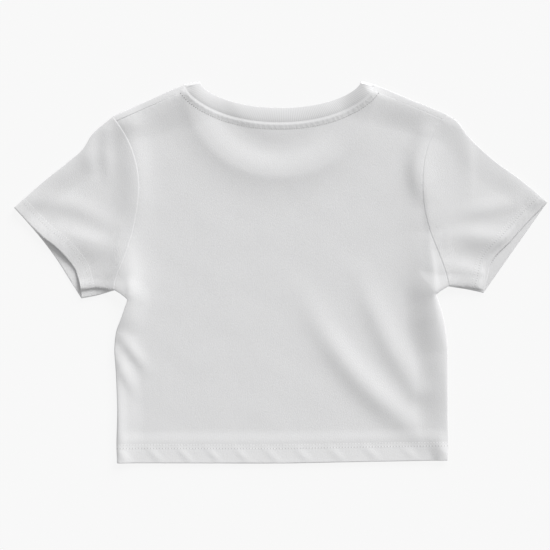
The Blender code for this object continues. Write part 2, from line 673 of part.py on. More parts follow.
def build_sleeve(name, side):
    """A short sleeve: one flattened tube, from the armhole seam to its open, hemmed cuff."""
    seam, fold, under = dense(side.armhole[::-1]), dense(side.sleeve_top), dense(side.underside)
    hem = 1.0 - CUFF_DEPTH / length(fold)
    step = HEM_STEP / length(fold)
    rows = np.concatenate([np.linspace(0.0, hem - step, SLEEVE_ROWS - 3), [hem, 0.5 * (1 + hem), 1.0]])
    q = sleeve_places(side, rows)
    r = np.repeat(rows[:, None], q.shape[1], axis=1)
    border = (even(fold, rows)[:, None], even(under, rows)[:, None])
    layers = []
    for edge in (dense(side.cuff_back), dense(side.cuff_front)):
        corners = (seam[[0, -1]], edge[[0, -1]])
        layers.append(patch(even(seam, q), even(edge, q), *border, q, r, *corners))
    upper, lower = layers[0], layers[1][:, -2:0:-1]
    grid = np.concatenate([lift(upper, upper_height(upper)), lift(lower, lower_height(lower))], axis=1)
    way = np.sign(side.sleeve_top[-1][0])
    normals = face_normals(grid, ring=True) * way
    stations = even(seam, q[0])
    tip, _neck, inwards = shoulder_frame(side.shoulder)
    beyond_tip = stations[1] - 2 * ((stations[1] - tip) @ inwards) * inwards
    into = sideways(np.concatenate([[beyond_tip], stations]), -way)[1:]
    rounding = turn_steps()[::-1]
    normals[0, :TURN_STEPS + 1] = turn_normals(rounding, inwards)
    normals[0, -TURN_STEPS:] = turn_normals(-rounding[1:], inwards)[::-1]
    open_seam(grid, normals, (0, slice(None)), np.concatenate([into, into[-2:0:-1]]))
    plan = grid[..., :2]
    hemmed = smooth((rows - hem + step) / step)[:, None] * smooth(nearest_edge(plan)[0] / HEM_CLEAR)
    inner = grid - normals * (WALL + (CUFF_WALL - WALL) * hemmed)[..., None]
    if way < 0:
        grid, inner = grid[:, ::-1], inner[:, ::-1]
    return wall(name, grid, inner, JERSEY, columns_closed=True)


def band_turn(side, free_edge):
    """The neckband's turn over the end of a shoulder: seam points, free edge points and normals."""
    _tip, neck, inwards = shoulder_frame(side.shoulder)
    beyond = FOLD_REACH * np.linspace(1.0, -1.0, 2 * TURN_STEPS + 1)[1:-1]
    inside = turn_inside(beyond)[:, None] * inwards
    normal = turn_normals(beyond, inwards)
    height = FOLD_MIDDLE * (1.0 + normal[:, 2:])
    seam = np.concatenate([neck + inside, height], axis=1)
    free = np.concatenate([free_edge - FOLD_REACH * inwards + inside, height], axis=1)
    return seam, free, normal


def build_neckband():
    """The neckband: a ring of doubled rib, its back half on top and its front half underneath."""
    share = np.linspace(0.0, 1.0, BAND_COLUMNS)[None, :, None]
    middle = NECK_MIDDLE + BAND_MIDDLE
    u = np.concatenate([[-1.0], neck_stations(), [1.0]])
    free = np.stack([middle + BAND_HALF * u, BAND_TOP - BAND_BACK_DROP * dip(u)], axis=-1)
    back = back_neck(u)[:, None] * (1 - share) + free[:, None] * share
    angle = front_angles()[::-1]
    drop = BAND_TOP - NECK_TOP + FRONT_DROP - BAND_WIDTH
    low = np.stack([middle - BAND_HALF * np.cos(angle), BAND_TOP - drop * np.sin(angle)], axis=-1)
    front = front_neck(angle)[:, None] * (1 - share) + low[:, None] * share
    right_turn = band_turn(RIGHT, free[-1])
    left_turn = [a[::-1] for a in band_turn(LEFT, free[0])]
    grid = np.concatenate([
        lift(back, np.maximum(upper_height(back), BAND_LOWEST)),
        right_turn[0][:, None] * (1 - share) + right_turn[1][:, None] * share,
        lift(front, np.zeros(front.shape[:2])),
        left_turn[0][:, None] * (1 - share) + left_turn[1][:, None] * share,
    ])
    row_normals = np.concatenate([
        np.repeat(UP[None], len(back), axis=0), right_turn[2],
        np.repeat(-UP[None], len(front), axis=0), left_turn[2],
    ])
    normals = np.repeat(row_normals[:, None], BAND_COLUMNS, axis=1)
    run = np.roll(grid[:, 0], -1, axis=0) - np.roll(grid[:, 0], 1, axis=0)
    away = np.cross(normals[:, 0], run)
    away /= np.linalg.norm(away, axis=-1, keepdims=True)
    away *= np.sign((away * (grid[:, 1] - grid[:, 0])).sum(-1, keepdims=True))
    grid[:, 0] += away * SEAM_GAP / 2
    thick = np.full(grid.shape[:2], BAND_WALL)
    grid[:, -1] -= normals[:, -1] * BAND_ROUND
    thick[:, -1] -= 2 * BAND_ROUND
    inner = grid - normals * thick[..., None]
    return wall("neckband", grid[:, ::-1], inner[:, ::-1], RIB, rows_closed=True)


def clear_scene():
    for thing in list(bpy.data.objects):
        bpy.data.objects.remove(thing, do_unlink=True)


def centre_on_origin(pieces):
    """Moves all points together so that the garment's plan is centred on the origin."""
    points = np.array([v.co for piece in pieces for v in piece.data.vertices])
    middle = 0.5 * (points.min(axis=0) + points.max(axis=0))
    for piece in pieces:
        piece.data.transform(Matrix.Translation((-middle[0], -middle[1], 0.0)))


def main():
    clear_scene()
    centre_on_origin([
        build_front(), build_back(), build_sleeve("left_sleeve", LEFT),
        build_sleeve("right_sleeve", RIGHT), build_neckband(),
    ])


main()
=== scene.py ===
"""Crop top in white jersey, laid flat on its front with its back upwards: the garment as it looks.

Each cut piece is a wall of cloth on the form of its solid. A piece's outer face is a grid of points
whose heights come from where they lie in plan: the roll of the nearest folded edge, the standing
folds, the print of the neckband beneath, and the relief of seams, stitches and puckers. Plan sizes
are in millimetres, x to the wearer's right and y up from the hem.
"""

from collections import namedtuple

import bpy
import numpy as np
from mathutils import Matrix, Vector


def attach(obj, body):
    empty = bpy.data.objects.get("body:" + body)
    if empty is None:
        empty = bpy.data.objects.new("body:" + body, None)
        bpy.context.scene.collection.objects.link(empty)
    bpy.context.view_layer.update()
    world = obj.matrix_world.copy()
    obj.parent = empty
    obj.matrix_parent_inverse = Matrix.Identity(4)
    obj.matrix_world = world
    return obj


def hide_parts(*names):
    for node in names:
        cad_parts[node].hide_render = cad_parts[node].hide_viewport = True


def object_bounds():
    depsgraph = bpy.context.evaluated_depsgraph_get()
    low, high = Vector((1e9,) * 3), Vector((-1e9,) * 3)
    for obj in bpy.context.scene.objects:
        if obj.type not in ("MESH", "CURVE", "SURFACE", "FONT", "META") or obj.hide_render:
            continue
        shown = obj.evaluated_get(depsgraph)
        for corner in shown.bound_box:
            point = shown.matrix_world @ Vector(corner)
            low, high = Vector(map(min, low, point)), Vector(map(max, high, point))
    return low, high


MM = 0.001

# Driving sizes of the garment, in millimetres.
NECK_MIDDLE = -1.4
NECK_HALF = 101.5
NECK_TOP = 407.2
BACK_DROP = 38.0
FRONT_DROP = 97.0
BAND_WIDTH = 16.0
BAND_HALF = 86.4
BAND_TOP = 410.8
BAND_BACK_DROP = 26.0
BAND_MIDDLE = 0.9
BODY_HALF = 185.0
HEM_DEPTH = 20.6
CUFF_DEPTH = 15.0

# Cloth, in millimetres.
WALL = 1.0
HEM_WALL = 1.6
CUFF_WALL = 1.3
BAND_WALL = 1.8

# How the layers lie, in millimetres: heights above the surface, and widths in plan.
LAYERED = 2.4
FOLD_MIDDLE = 3.0
FOLD_REACH = 3.0
LIP_EDGE = 1.6
LIP_ROUND = 1.5
LIP_FULL = 3.0
TURN = 0.5
SLOW_SHARE = 0.04
EDGE_MIX = 3.0
HEM_RISE = 1.0
HEM_SLOPE = 14.0
HEM_STEP = 1.5
HEM_CLEAR = 10.0
BAND_LOWEST = 2.0
SHOULDER_SEAM = 6.5

# The powers that give the back neck its rounded, flat-bottomed dip.
DIP_POWER = 2.1
DIP_ROUND = 0.7

# Folded edges, where the cloth turns over from the back to the front, a row for each place:
# x, y, reach of the turn, rise of the roll above the layers, width of its fall, and width of the lip
# that lies flat outside it.
LEFT_SIDE = (
    (-177.0, 0.3, 1.5, 2.4, 20.0, 0.0),
    (-177.6, 18.0, 1.5, 2.4, 28.0, 0.0),
    (-176.8, 57.0, 1.5, 2.4, 28.0, 0.0),
    (-178.4, 100.0, 1.5, 2.2, 26.0, 0.0),
    (-179.8, 126.0, 1.5, 1.8, 26.0, 0.0),
    (-178.0, 142.0, 1.5, 2.0, 28.0, 0.0),
    (-171.5, 160.0, 1.5, 2.6, 28.0, 0.0),
    (-165.5, 177.4, 1.5, 2.0, 26.0, 0.0),
)
LEFT_TUCK = (
    (-165.5, 177.4, 1.5, 2.0, 26.0, 0.0),
    (-172.0, 182.6, 1.5, 1.6, 20.0, 0.0),
    (-179.6, 187.4, 1.5, 1.4, 14.0, 0.0),
)
LEFT_UNDERSIDE = (
    (-179.6, 187.4, 1.5, 1.4, 14.0, 0.0),
    (-187.0, 185.2, 1.5, 1.2, 12.0, 4.5),
    (-195.0, 182.8, 1.5, 1.4, 12.0, 7.5),
    (-215.8, 178.4, 1.5, 1.8, 12.0, 9.8),
)
LEFT_SLEEVE_TOP = (
    (-181.2, 375.6, 5.0, 3.0, 28.0, 0.0),
    (-204.7, 354.7, 5.0, 2.8, 26.0, 0.0),
    (-214.2, 339.6, 5.0, 2.8, 26.0, 0.0),
    (-227.5, 328.1, 5.0, 2.8, 24.0, 0.0),
    (-255.9, 305.4, 5.0, 2.6, 22.0, 0.0),
    (-288.4, 276.9, 3.2, 2.2, 20.0, 0.0),
)
LEFT_SHOULDER = (
    (-181.2, 375.6, 5.0, 3.0, 30.0, 0.0),
    (-104.1, 409.95, 9.0, 3.6, 40.0, 0.0),
)
RIGHT_SIDE = (
    (180.6, 3.3, 3.5, 2.0, 14.0, 0.0),
    (181.2, 18.0, 5.0, 2.4, 20.0, 0.0),
    (180.6, 50.0, 4.0, 3.7, 30.0, 0.0),
    (180.4, 93.0, 4.0, 5.0, 30.0, 0.0),
    (180.0, 128.0, 6.0, 4.3, 34.0, 0.0),
    (177.8, 147.0, 8.0, 3.9, 36.0, 0.0),
    (173.5, 165.9, 8.0, 3.6, 36.0, 0.0),
    (167.9, 183.0, 5.0, 2.6, 32.0, 0.0),
)
RIGHT_TUCK = (
    (167.9, 183.0, 5.0, 2.6, 32.0, 0.0),
    (173.6, 187.2, 4.0, 1.6, 18.0, 0.0),
    (181.5, 191.6, 3.0, 1.2, 12.0, 0.0),
)
RIGHT_UNDERSIDE = (
    (181.5, 191.6, 3.0, 1.2, 12.0, 0.0),
    (190.0, 190.2, 3.0, 1.2, 12.0, 1.5),
    (200.0, 188.6, 3.0, 1.4, 12.0, 2.2),
    (219.5, 184.5, 3.0, 1.8, 12.0, 2.6),
)
RIGHT_SLEEVE_TOP = (
    (179.6, 377.5, 5.0, 3.0, 30.0, 0.0),
    (188.8, 371.7, 5.0, 2.2, 28.0, 0.0),
    (202.1, 354.7, 5.0, 1.1, 24.0, 0.0),
    (232.5, 326.3, 5.0, 0.9, 24.0, 0.0),
    (258.9, 307.3, 5.0, 1.5, 22.0, 0.0),
    (288.4, 282.5, 3.2, 2.0, 18.0, 0.0),
)
RIGHT_SHOULDER = (
    (179.6, 377.5, 5.0, 3.0, 26.0, 0.0),
    (101.2, 410.0, 9.0, 2.8, 36.0, 0.0),
)
# Armhole seams, from the underarm up to the tip of the shoulder: x, y.
LEFT_ARMHOLE = (
    (-179.6, 187.4), (-178.6, 197.0), (-174.4, 208.9), (-166.8, 227.8), (-159.2, 254.3),
    (-154.6, 279.0), (-153.0, 305.0), (-156.5, 327.6), (-161.8, 343.3), (-169.1, 357.7),
    (-176.9, 369.5), (-181.2, 375.6),
)
RIGHT_ARMHOLE = (
    (181.5, 191.6), (178.5, 205.0), (171.8, 224.0), (160.4, 254.3), (154.7, 279.0),
    (153.2, 305.0), (156.4, 334.0), (160.9, 348.6), (167.5, 361.0), (174.3, 371.0), (179.6, 377.5),
)

# Open edges: x, y.
HEM = ((-177.0, 0.3), (-90.0, 0.1), (0.0, 0.0), (90.0, 1.7), (180.6, 3.3))
LEFT_CUFF_BACK = (
    (-288.4, 276.9), (-266.5, 253.6), (-254.8, 242.8), (-244.0, 234.8), (-233.3, 224.1),
    (-223.9, 212.1), (-221.9, 208.9), (-220.8, 205.4), (-216.6, 190.0), (-215.8, 178.4),
)
LEFT_CUFF_FRONT = (
    (-288.4, 276.9), (-254.8, 237.4), (-240.6, 217.9), (-229.8, 200.7), (-215.8, 178.4),
)
RIGHT_CUFF_BACK = (
    (288.4, 282.5), (268.7, 262.7), (248.0, 240.0), (227.3, 216.4), (223.0, 197.6),
    (220.8, 189.8), (219.5, 184.5),
)
RIGHT_CUFF_FRONT = ((288.4, 282.5), (219.5, 184.5))

# The two sides: their folded edges, their other lines, the sign of x there, and how much of the whiter
# colour the hem of the cuff takes. That colour is partly the doubled cloth's own and partly painted
# light, which makes the left cuff much lighter than the right.
Side = namedtuple("Side", "seam tuck underside sleeve_top shoulder armhole cuff_back cuff_front way white")
LEFT = Side(LEFT_SIDE, LEFT_TUCK, LEFT_UNDERSIDE, LEFT_SLEEVE_TOP, LEFT_SHOULDER, LEFT_ARMHOLE,
            LEFT_CUFF_BACK, LEFT_CUFF_FRONT, -1.0, 0.9)
RIGHT = Side(RIGHT_SIDE, RIGHT_TUCK, RIGHT_UNDERSIDE, RIGHT_SLEEVE_TOP, RIGHT_SHOULDER,
             RIGHT_ARMHOLE, RIGHT_CUFF_BACK, RIGHT_CUFF_FRONT, 1.0, 0.25)

# Folds that stand in the upper layer, a row for each: the x and y of its start, middle and end, its
# rise at those three places, and its half widths on the left and on the right of that direction.
BODY_FOLDS = (
    (20.8, 183.4, 72.6, 104.5, 174.0, 13.0, 0.3, 3.1, 1.2, 15.5, 14.0),
    (85.6, 202.8, 111.5, 140.2, 146.0, 80.0, 0.5, 2.5, 2.2, 16.0, 13.0),
    (-174.5, -8.0, -174.5, 46.0, -175.5, 96.0, 1.0, 1.6, 0.6, 3.0, 6.0),
    (-171.1, 136.0, -158.2, 118.0, -146.0, 101.0, 1.1, 1.9, 0.4, 8.0, 6.0),
    (-178.3, 119.0, -169.7, 99.1, -157.5, 74.0, 1.2, 1.8, 0.3, 8.0, 6.0),
    (-168.0, 240.0, -164.5, 188.0, -167.0, 140.0, 1.0, 4.4, 1.4, 21.0, 24.0),
    (-167.0, 240.0, -164.5, 206.0, -166.5, 158.0, 0.8, 1.8, 0.8, 10.0, 20.0),
    (-165.0, 204.0, -163.5, 192.0, -163.0, 184.0, 0.0, 0.8, 0.6, 8.0, 3.5),
    (159.0, 252.0, 165.0, 204.0, 171.0, 120.0, 1.4, 5.6, 0.6, 30.0, 23.0),
    (160.0, 242.0, 164.5, 212.0, 166.0, 186.0, 0.3, 0.9, 0.7, 3.5, 6.0),
)
ARMHOLE_FOLDS = (
    (-163.0, 362.0, -158.0, 308.0, -161.0, 248.0, 3.0, 3.4, 1.0, 16.0, 17.0),
    (156.0, 354.0, 147.0, 318.0, 157.0, 277.0, 2.5, 3.5, 0.2, 16.0, 10.5),
    (158.0, 298.0, 160.0, 272.0, 163.0, 246.0, 0.3, 1.1, 0.5, 22.0, 5.0),
)
SLEEVE_FOLDS = (
    (-166.0, 300.0, -212.0, 262.0, -258.0, 258.0, 0.3, 0.9, 0.9, 42.0, 42.0),
    (-270.8, 284.9, -222.2, 277.3, -180.1, 256.8, 1.1, 1.3, 0.7, 12.0, 11.0),
    (-281.0, 266.0, -262.0, 247.0, -240.0, 230.0, 1.3, 1.9, 1.5, 14.0, 20.0),
    (-238.0, 248.0, -208.0, 238.5, -181.0, 233.0, 2.2, 3.2, 1.6, 13.0, 20.0),
    (-216.0, 193.0, -198.0, 201.0, -178.0, 211.0, 1.6, 1.9, 0.6, 13.0, 11.0),
    (-187.7, 358.3, -188.7, 333.5, -187.7, 308.7, 0.8, 1.3, 0.3, 7.0, 6.5),
    (-206.0, 351.9, -208.2, 333.5, -206.0, 311.9, 0.5, 1.2, 0.3, 7.5, 9.0),
    (166.0, 300.0, 212.0, 266.0, 258.0, 264.0, 1.4, 1.8, 1.6, 42.0, 42.0),
    (253.0, 281.7, 215.2, 274.1, 188.2, 267.6, 1.2, 1.2, 0.3, 9.0, 11.0),
    (242.2, 241.7, 210.9, 243.9, 185.0, 244.9, 2.3, 2.8, 1.1, 14.0, 12.0),
    (228.0, 198.0, 204.0, 206.5, 182.0, 213.0, 1.3, 2.4, 1.2, 13.0, 11.0),
    (201.0, 362.0, 203.0, 332.0, 204.0, 296.0, 0.4, 1.1, 0.3, 7.0, 12.0),
)
FOLDS = BODY_FOLDS + ARMHOLE_FOLDS + SLEEVE_FOLDS

# What the hidden front neckband does to the back that lies over it: distance outwards from the
# front neck seam, and the change of height there.
NECK_PRINT = (
    (-60.0, 1.3), (-52.0, 1.3), (-48.0, 1.2), (-44.0, 0.9), (-40.0, 0.54), (-36.0, 0.28),
    (-32.0, 0.2), (-29.0, 0.22), (-25.0, 0.48), (-20.0, 1.06), (-15.0, 1.68), (-9.5, 2.22),
    (-5.0, 2.44), (-1.0, 2.48), (2.0, 2.3), (6.0, 1.82), (10.0, 1.35), (16.0, 0.8), (24.0, 0.32),
    (34.0, 0.05), (46.0, 0.0),
)
PRINT_CLEAR = 12.0
NECK_RIDGE = 0.4
NECK_RIDGE_WIDTH = 6.0

# Relief of seams and stitching on the outer faces, in millimetres. The rows of stitches are measured
# from the edge of their hem, and the neck's from its seam.
DITCH = 0.03
DITCH_WIDTH = 0.9
SEAM_ROUND = 0.8
SLEEVE_STEP = 0.32
SLEEVE_STEP_FALL = 9.0
SHOULDER_STEP = 0.1
SHOULDER_STEP_FALL = 6.0
CUFF_STEP = 0.05
GROOVE = 0.01
GROOVE_WIDTH = 0.9
HEM_ROWS = (16.2, 20.0)
CUFF_ROWS = (11.4, 15.2)
HEM_RELIEF_TOP = 60.0
NECK_ROW = 7.8
NECK_GROOVE = 0.05
NECK_ROLL = 0.5
NECK_ROLL_MIDDLE = 3.2
NECK_ROLL_ABOVE = 1.7
NECK_ROLL_BELOW = 3.4
RELIEF_CLEAR = 2.5
BAND_CROWN = 0.8

# Gathers: rise, pitch along the seam, distance of their middle from it, and half width there. Then how
# far they lean along it for each millimetre away from it, and how far, in radians, and in how many
# pitches their waves drift.
Gather = namedtuple("Gather", "rise pitch middle width")
ARMHOLE_GATHER = Gather(0.04, 9.0, 0.0, 5.0)
SHOULDER_GATHER = Gather(0.05, 8.0, 2.0, 4.0)
CUFF_RIPPLE = Gather(0.12, 17.0, 6.0, 5.0)
HEM_RIPPLE = Gather(0.38, 35.0, 9.0, 8.0)
CUFF_SLANT = 0.7
HEM_SLANT = 0.75
GATHER_DRIFT = 1.4
GATHER_DRIFT_PITCH = 1.7

# How the right cuff settles near its edge: by what share, how far in, and down to what height.
CUFF_SETTLE = 0.8
CUFF_REACH = 9.0
CUFF_REST = 2.8

# Soft unevenness of the upper layer: length of the wave, its heading in degrees, phase, rise.
WAVES = (
    (61.0, 20.0, 0.4, 0.05), (47.0, 74.0, 2.1, 0.04), (38.0, 131.0, 4.0, 0.03),
    (27.0, 52.0, 1.2, 0.015), (22.0, 166.0, 5.1, 0.01),
)
WAVE_BEND = 1.1
WAVE_BEND_PACE = 2.3

# How a wall closes at a hem's edge: how far in from it the wall is full; how deep under its outer face
# the edge lies, as a share of the wall, and how much deeper where that face looks up; and the share of
# the wall that is left there. Then the angle, in degrees, from which a mesh's edge is shaded sharp.
EDGE_ROUND = 0.9
EDGE_DEPTH = 0.5
EDGE_TILT = 0.32
EDGE_LEAST = 0.06
SHARP_ANGLE = 50.0

# Stitches, in millimetres. THREAD is the radius of a thread, which sinks and dips by shares of that.
HEM_PITCH = 3.24
NECK_PITCH = 2.4
STITCH_STEPS = 8
THREAD = 0.22
THREAD_SIDES = 6
THREAD_TIP = 0.01
THREAD_SINK = 0.1
THREAD_DIP = 1.8
THREAD_DIP_WIDTH = 0.7
HEM_THREAD_INSET = 1.5
# Radii of the painted shade in the needle's pits: in the hems, and below the neck.
HEM_PIT_SHADE_RADIUS = 1.0
NECK_PIT_SHADE_RADIUS = 0.62

# Counts of the points of lines.
LINE_POINTS = 200
EDGE_POINTS = 32
FOLD_POINTS = 24
NECK_POINTS = 160
BACK_NECK_POINTS = 118
FRONT_NECK_POINTS = 120
TURN_POINTS = 13
NECK_TURN_START = 6
BAND_BACK_POINTS = 240
BAND_FRONT_POINTS = 300
BAND_TURN_POINTS = 11
SLEEVE_AROUND = 56

# Spacings of the grids, in millimetres, the stretches where they are finer, and the places closest to
# an edge or a fold, each measured from it.
BACK_SPACING = 2.3
BACK_HEM_SPACING = 1.1
BACK_SEAM_SPACING = 1.9
FRONT_SPACING = 3.6
FRONT_HEM_SPACING = 2.2
FRONT_SEAM_SPACING = 3.0
TURN_SPACING = 1.2
SLEEVE_SPACING = 2.2
CUFF_SPACING = 1.1
HEM_FINE = 22.0
CUFF_FINE = 18.0
SHOULDER_FINE = 13.0
SHOULDER_FINENESS = 0.35
TUCK_FINENESS = 0.5
NEAR_FOLD = (0.0, 0.3, 0.8, 1.5, 2.4, 3.6, 5.2, 7.2, 9.4)
NEAR_FRONT_FOLD = (0.0, 0.4, 1.0, 1.8, 3.0, 5.0)
NEAR_UNDERARM = (0.0, 0.4, 1.0, 1.8, 3.0, 4.5)
NEAR_UNDERSIDE = (18.0, 16.8, *np.arange(15.6, 2.0, -1.0), 1.8, 1.1, 0.6, 0.25, 0.0)
NEAR_SLEEVE_SEAM = (0.0, 0.4, 0.9, 1.5, 2.3)
NEAR_CUFF = (0.7, 0.3, 0.0)
NEAR_HEM = (0.0, 0.3, 0.7)
SLEEVE_EASE = 30.0
BAND_EDGE_PACE = 3.0
BAND_ACROSS = (0.0, 0.03, 0.1, 0.2, 0.3, 0.4, 0.5, 0.6, 0.7, 0.8, 0.88, 0.94, 0.97, 0.985, 1.0)

# Shares: how far across the back neck its own points start, how far in from the sides their borders
# pull a panel's columns, and how far up its rows keep away from the slant of its top.
NECK_CORNER = 0.986
SIDE_PULL = 0.185
EVEN_ROWS = 0.6

# The armhole seam's upper part, in millimetres up the body and in points of its line; a distance that
# stands for none near; how many points are measured at once; and the way up.
ARMHOLE_UPPER = 340.0
ARMHOLE_UPPER_POINTS = 60
FAR = 99.0
BLOCK = 6000
UP = np.array([0.0, 0.0, 1.0])

# Knits and thread, in millimetres, the drift of the neck's beads, in radians, and the depth of fine
# relief, in metres.
WALE = 0.75
COURSE = 0.6
COURSE_LEAN = 1.6
RIB_PITCH = 1.9
RIB_COURSE = 0.7
TWIST = 0.5
BEAD_PITCH = 5.6
BEAD_DRIFT = 9.0
KNIT_DEPTH = 0.00008
THREAD_DEPTH = 0.00004

# Shares of that depth: wales, courses, fuzz and neck beads of the jersey; ribs, courses and fuzz of
# the rib; twist and fuzz of the thread. Then how dark the painted shade in the needle's pits is: in
# the outer and the inner row of a hem, and below the neck.
JERSEY_RISES = (0.5, 0.25, 1.7, 0.8)
RIB_RISES = (1.0, 0.1, 0.8)
THREAD_RISES = (0.6, 0.4)
PIT_SHADE_SHARES = (0.24, 0.1, 0.85)
MOTTLE_SHARE = 0.1

# Lumps to the metre of the noises that unsettle the finishes.
JERSEY_FUZZ = 1100.0
JERSEY_MOTTLE = 38.0
BEAD_NOISE = 120.0
RIB_FUZZ = 900.0
RIB_MOTTLE = 60.0
THREAD_FUZZ = 3000.0
FUZZ_STRETCH = (1.0, 0.5, 1.0)

# Where patterns fade, as the distances from a row of stitches where they are none and full: the whiter
# hem, partly painted light, from its inner row, and the beads' lower and upper ends, from the neck's row.
HEM_FADE = (1.4, 0.4)
BEADS_LOW = (0.2, -1.0)
BEADS_HIGH = (-5.5, -3.5)

# Each finish's two colours, its roughness, and the other colours.
# The jersey's second colour is the whiter one of its hems, partly painted light.
JERSEY_COLOURS = ((0.75, 0.75, 0.755), (0.80, 0.80, 0.805))
RIB_COLOURS = ((0.74, 0.74, 0.745), (0.755, 0.755, 0.76))
THREAD_COLOURS = ((0.86, 0.86, 0.86), (0.89, 0.89, 0.89))
KNIT_ROUGHNESS = 0.92
THREAD_ROUGHNESS = 0.6
# The colour of the painted shade in the needle's pits.
PIT_SHADE_COLOUR = (0.05, 0.05, 0.05, 1.0)
WHITE = (1.0, 1.0, 1.0, 1.0)

# Floor, lights and camera, in metres, watts for each square metre and degrees. The frame is as wide as
# that at a height of 5 mm, and KEY_PLACE is the direction that the light comes from.
FLOOR_COLOUR = 0.06
FLOOR_GLOW = 0.884
FLOOR_HALF = 4.0
FLOOR_HEIGHT = -0.0004
WORLD_LIGHT = 0.44
KEY_POWER = 3.45
KEY_PLACE = (0.65, 1.0, 0.595)
KEY_SPREAD = 30.0
FRAME_WIDTH = 0.594
FRAME_ABOVE_FLOOR = 0.005
VIEW_X = -0.0062
VIEW_Y = -0.00275


def smooth(t):
    """0 below 0, 1 above 1, and an even S between them: 3 t squared less 2 t cubed."""
    t = np.clip(t, 0.0, 1.0)
    return t * t * (3.0 - 2.0 * t)


def quarter(t):
    """Height of a quarter circle that starts upright at 0 and is level from 1 on."""
    t = np.clip(t, 0.0, 1.0)
    return np.sqrt(np.maximum(1.0 - (1.0 - t) ** 2, 0.0))


def bell(distance, width):
    """1 in the middle, and e to the minus square of the distance in widths away from it."""
    return np.exp(-((distance / width) ** 2))


def unit(vectors):
    """The same directions with a length of 1."""
    return vectors / np.linalg.norm(vectors, axis=-1, keepdims=True)


def read(places, rows, where):
    """Columns of a table at `where`, on a smooth curve through its rows, which stand at `places`:
    a cubic between each two rows, whose slopes at them come from their neighbours."""
    slopes = np.gradient(rows, places, axis=0)
    where = np.clip(where, places[0], places[-1])
    i = np.clip(np.searchsorted(places, where, side="right") - 1, 0, len(places) - 2)
    width = (places[i + 1] - places[i])[..., None]
    t = (where - places[i])[..., None] / width
    return (
        (1 + 2 * t) * (1 - t) ** 2 * rows[i]
        + t * (1 - t) ** 2 * width * slopes[i]
        + t * t * (3 - 2 * t) * rows[i + 1]
        + t * t * (t - 1) * width * slopes[i + 1]
    )


def steps_of(line):
    """The length of each straight step of a line."""
    return np.linalg.norm(np.diff(line, axis=0), axis=1)


def run_of(line):
    """How far along a line each of its points is: the sum of the steps before it."""
    return np.concatenate([[0.0], np.cumsum(steps_of(line))])


def shares(line):
    """How far along a line each of its points is, from 0 to 1."""
    run = run_of(line)
    return run / run[-1]


def length(line):
    """The sum of a line's steps."""
    return steps_of(line).sum()


def along(rows, where):
    """Every column of a table of places, read at 0 to 1 of the way along a smooth curve."""
    rows = np.array(rows, float)
    return read(shares(rows[:, :2]), rows, np.asarray(where, float))


def dense(rows):
    """The x and y of a table of places as a line of many points."""
    return along(rows, np.linspace(0.0, 1.0, LINE_POINTS))[:, :2]


def even(line, where):
    """A line of many points read at 0 to 1 of its length."""
    places = shares(line)
    return np.stack([np.interp(where, places, line[:, k]) for k in (0, 1)], axis=-1)


def blockwise(measure):
    """Runs a measure of plan points some thousands at a time, so that it stays small in memory."""

    def whole(plan, *rest):
        """The measure's columns, each in the shape of the plan."""
        points = plan.reshape(-1, 2)
        parts = [measure(points[i:i + BLOCK], *rest) for i in range(0, len(points), BLOCK)]
        return [np.concatenate(part).reshape(plan.shape[:-1]) for part in zip(*parts)]

    return whole


def off_line(points, start, end):
    """Distance from each point to the nearest of some straight pieces, which one, where on it, and
    the side: 1 on its left, -1 on its right, and evenly between them round its ends."""
    ab = end - start
    ap = points[:, None, :] - start
    t = np.clip((ap * ab).sum(-1) / (ab * ab).sum(-1), 0.0, 1.0)
    off = ap - t[..., None] * ab
    gap = np.hypot(off[..., 0], off[..., 1])
    best = gap.argmin(axis=1)
    here = np.arange(len(points))
    off = off[here, best]
    gap = gap[here, best]
    aside = ab[best, 0] * off[:, 1] - ab[best, 1] * off[:, 0]
    hand = aside / np.maximum(gap * np.hypot(*ab[best].T), 1e-9)
    return gap, best, t[here, best], hand


EDGES = [along(rows, np.linspace(0.0, 1.0, EDGE_POINTS)) for side in (LEFT, RIGHT) for rows in side[:5]]


@blockwise
def nearest_edge(points):
    """Distance from each plan point to the nearest folded edge, and the edges' columns there.

    Where two edges are about as near, their columns are mixed by how much farther each one is.
    """
    gaps, columns = [], []
    for line in EDGES:
        gap, best, mix, _hand = off_line(points, line[:-1, :2], line[1:, :2])
        gaps.append(gap)
        columns.append(line[best, 2:] * (1 - mix)[:, None] + line[best + 1, 2:] * mix[:, None])
    gaps = np.array(gaps)
    nearest = gaps.min(axis=0)
    weights = np.exp((nearest - gaps) / EDGE_MIX)[..., None]
    return nearest, *((weights * columns).sum(axis=0) / weights.sum(axis=0)).T


@blockwise
def from_line(points, line):
    """Distance of each plan point from a line, how far along it that is, and on which side."""
    gap, best, mix, hand = off_line(points, line[:-1], line[1:])
    return gap, run_of(line)[best] + mix * steps_of(line)[best], hand


@blockwise
def fold_rise(points):
    """Heights of the standing folds: a bell across each fold's line, as wide as its columns say."""
    total = np.zeros(len(points))
    for x0, y0, x1, y1, x2, y2, rise0, rise1, rise2, left, right in FOLDS:
        places = ((x0, y0, rise0), (x1, y1, rise1), (x2, y2, rise2))
        line = along(places, np.linspace(0.0, 1.0, FOLD_POINTS))
        gap, best, mix, hand = off_line(points, line[:-1, :2], line[1:, :2])
        rise = line[best, 2] * (1 - mix) + line[best + 1, 2] * mix
        total += rise * bell(gap, right + (left - right) * (0.5 + 0.5 * hand))
    return (total,)


def dip(u):
    """Depth of the back neck at u, -1 to 1 across it, as a share of its drop: 1 less a power of the
    distance from the middle, and a power of that."""
    return (1.0 - np.minimum(np.abs(u), 1.0) ** DIP_POWER) ** DIP_ROUND


def back_neck(u):
    """The back neck seam, from u = -1 at the left to 1 at the right."""
    return np.stack([NECK_MIDDLE + NECK_HALF * u, NECK_TOP - BACK_DROP * dip(u)], axis=-1)


def front_neck(angle):
    """The front neck seam: half an ellipse, 0 at the left and pi at the right."""
    across = NECK_MIDDLE - NECK_HALF * np.cos(angle)
    return np.stack([across, NECK_TOP - FRONT_DROP * np.sin(angle)], axis=-1)


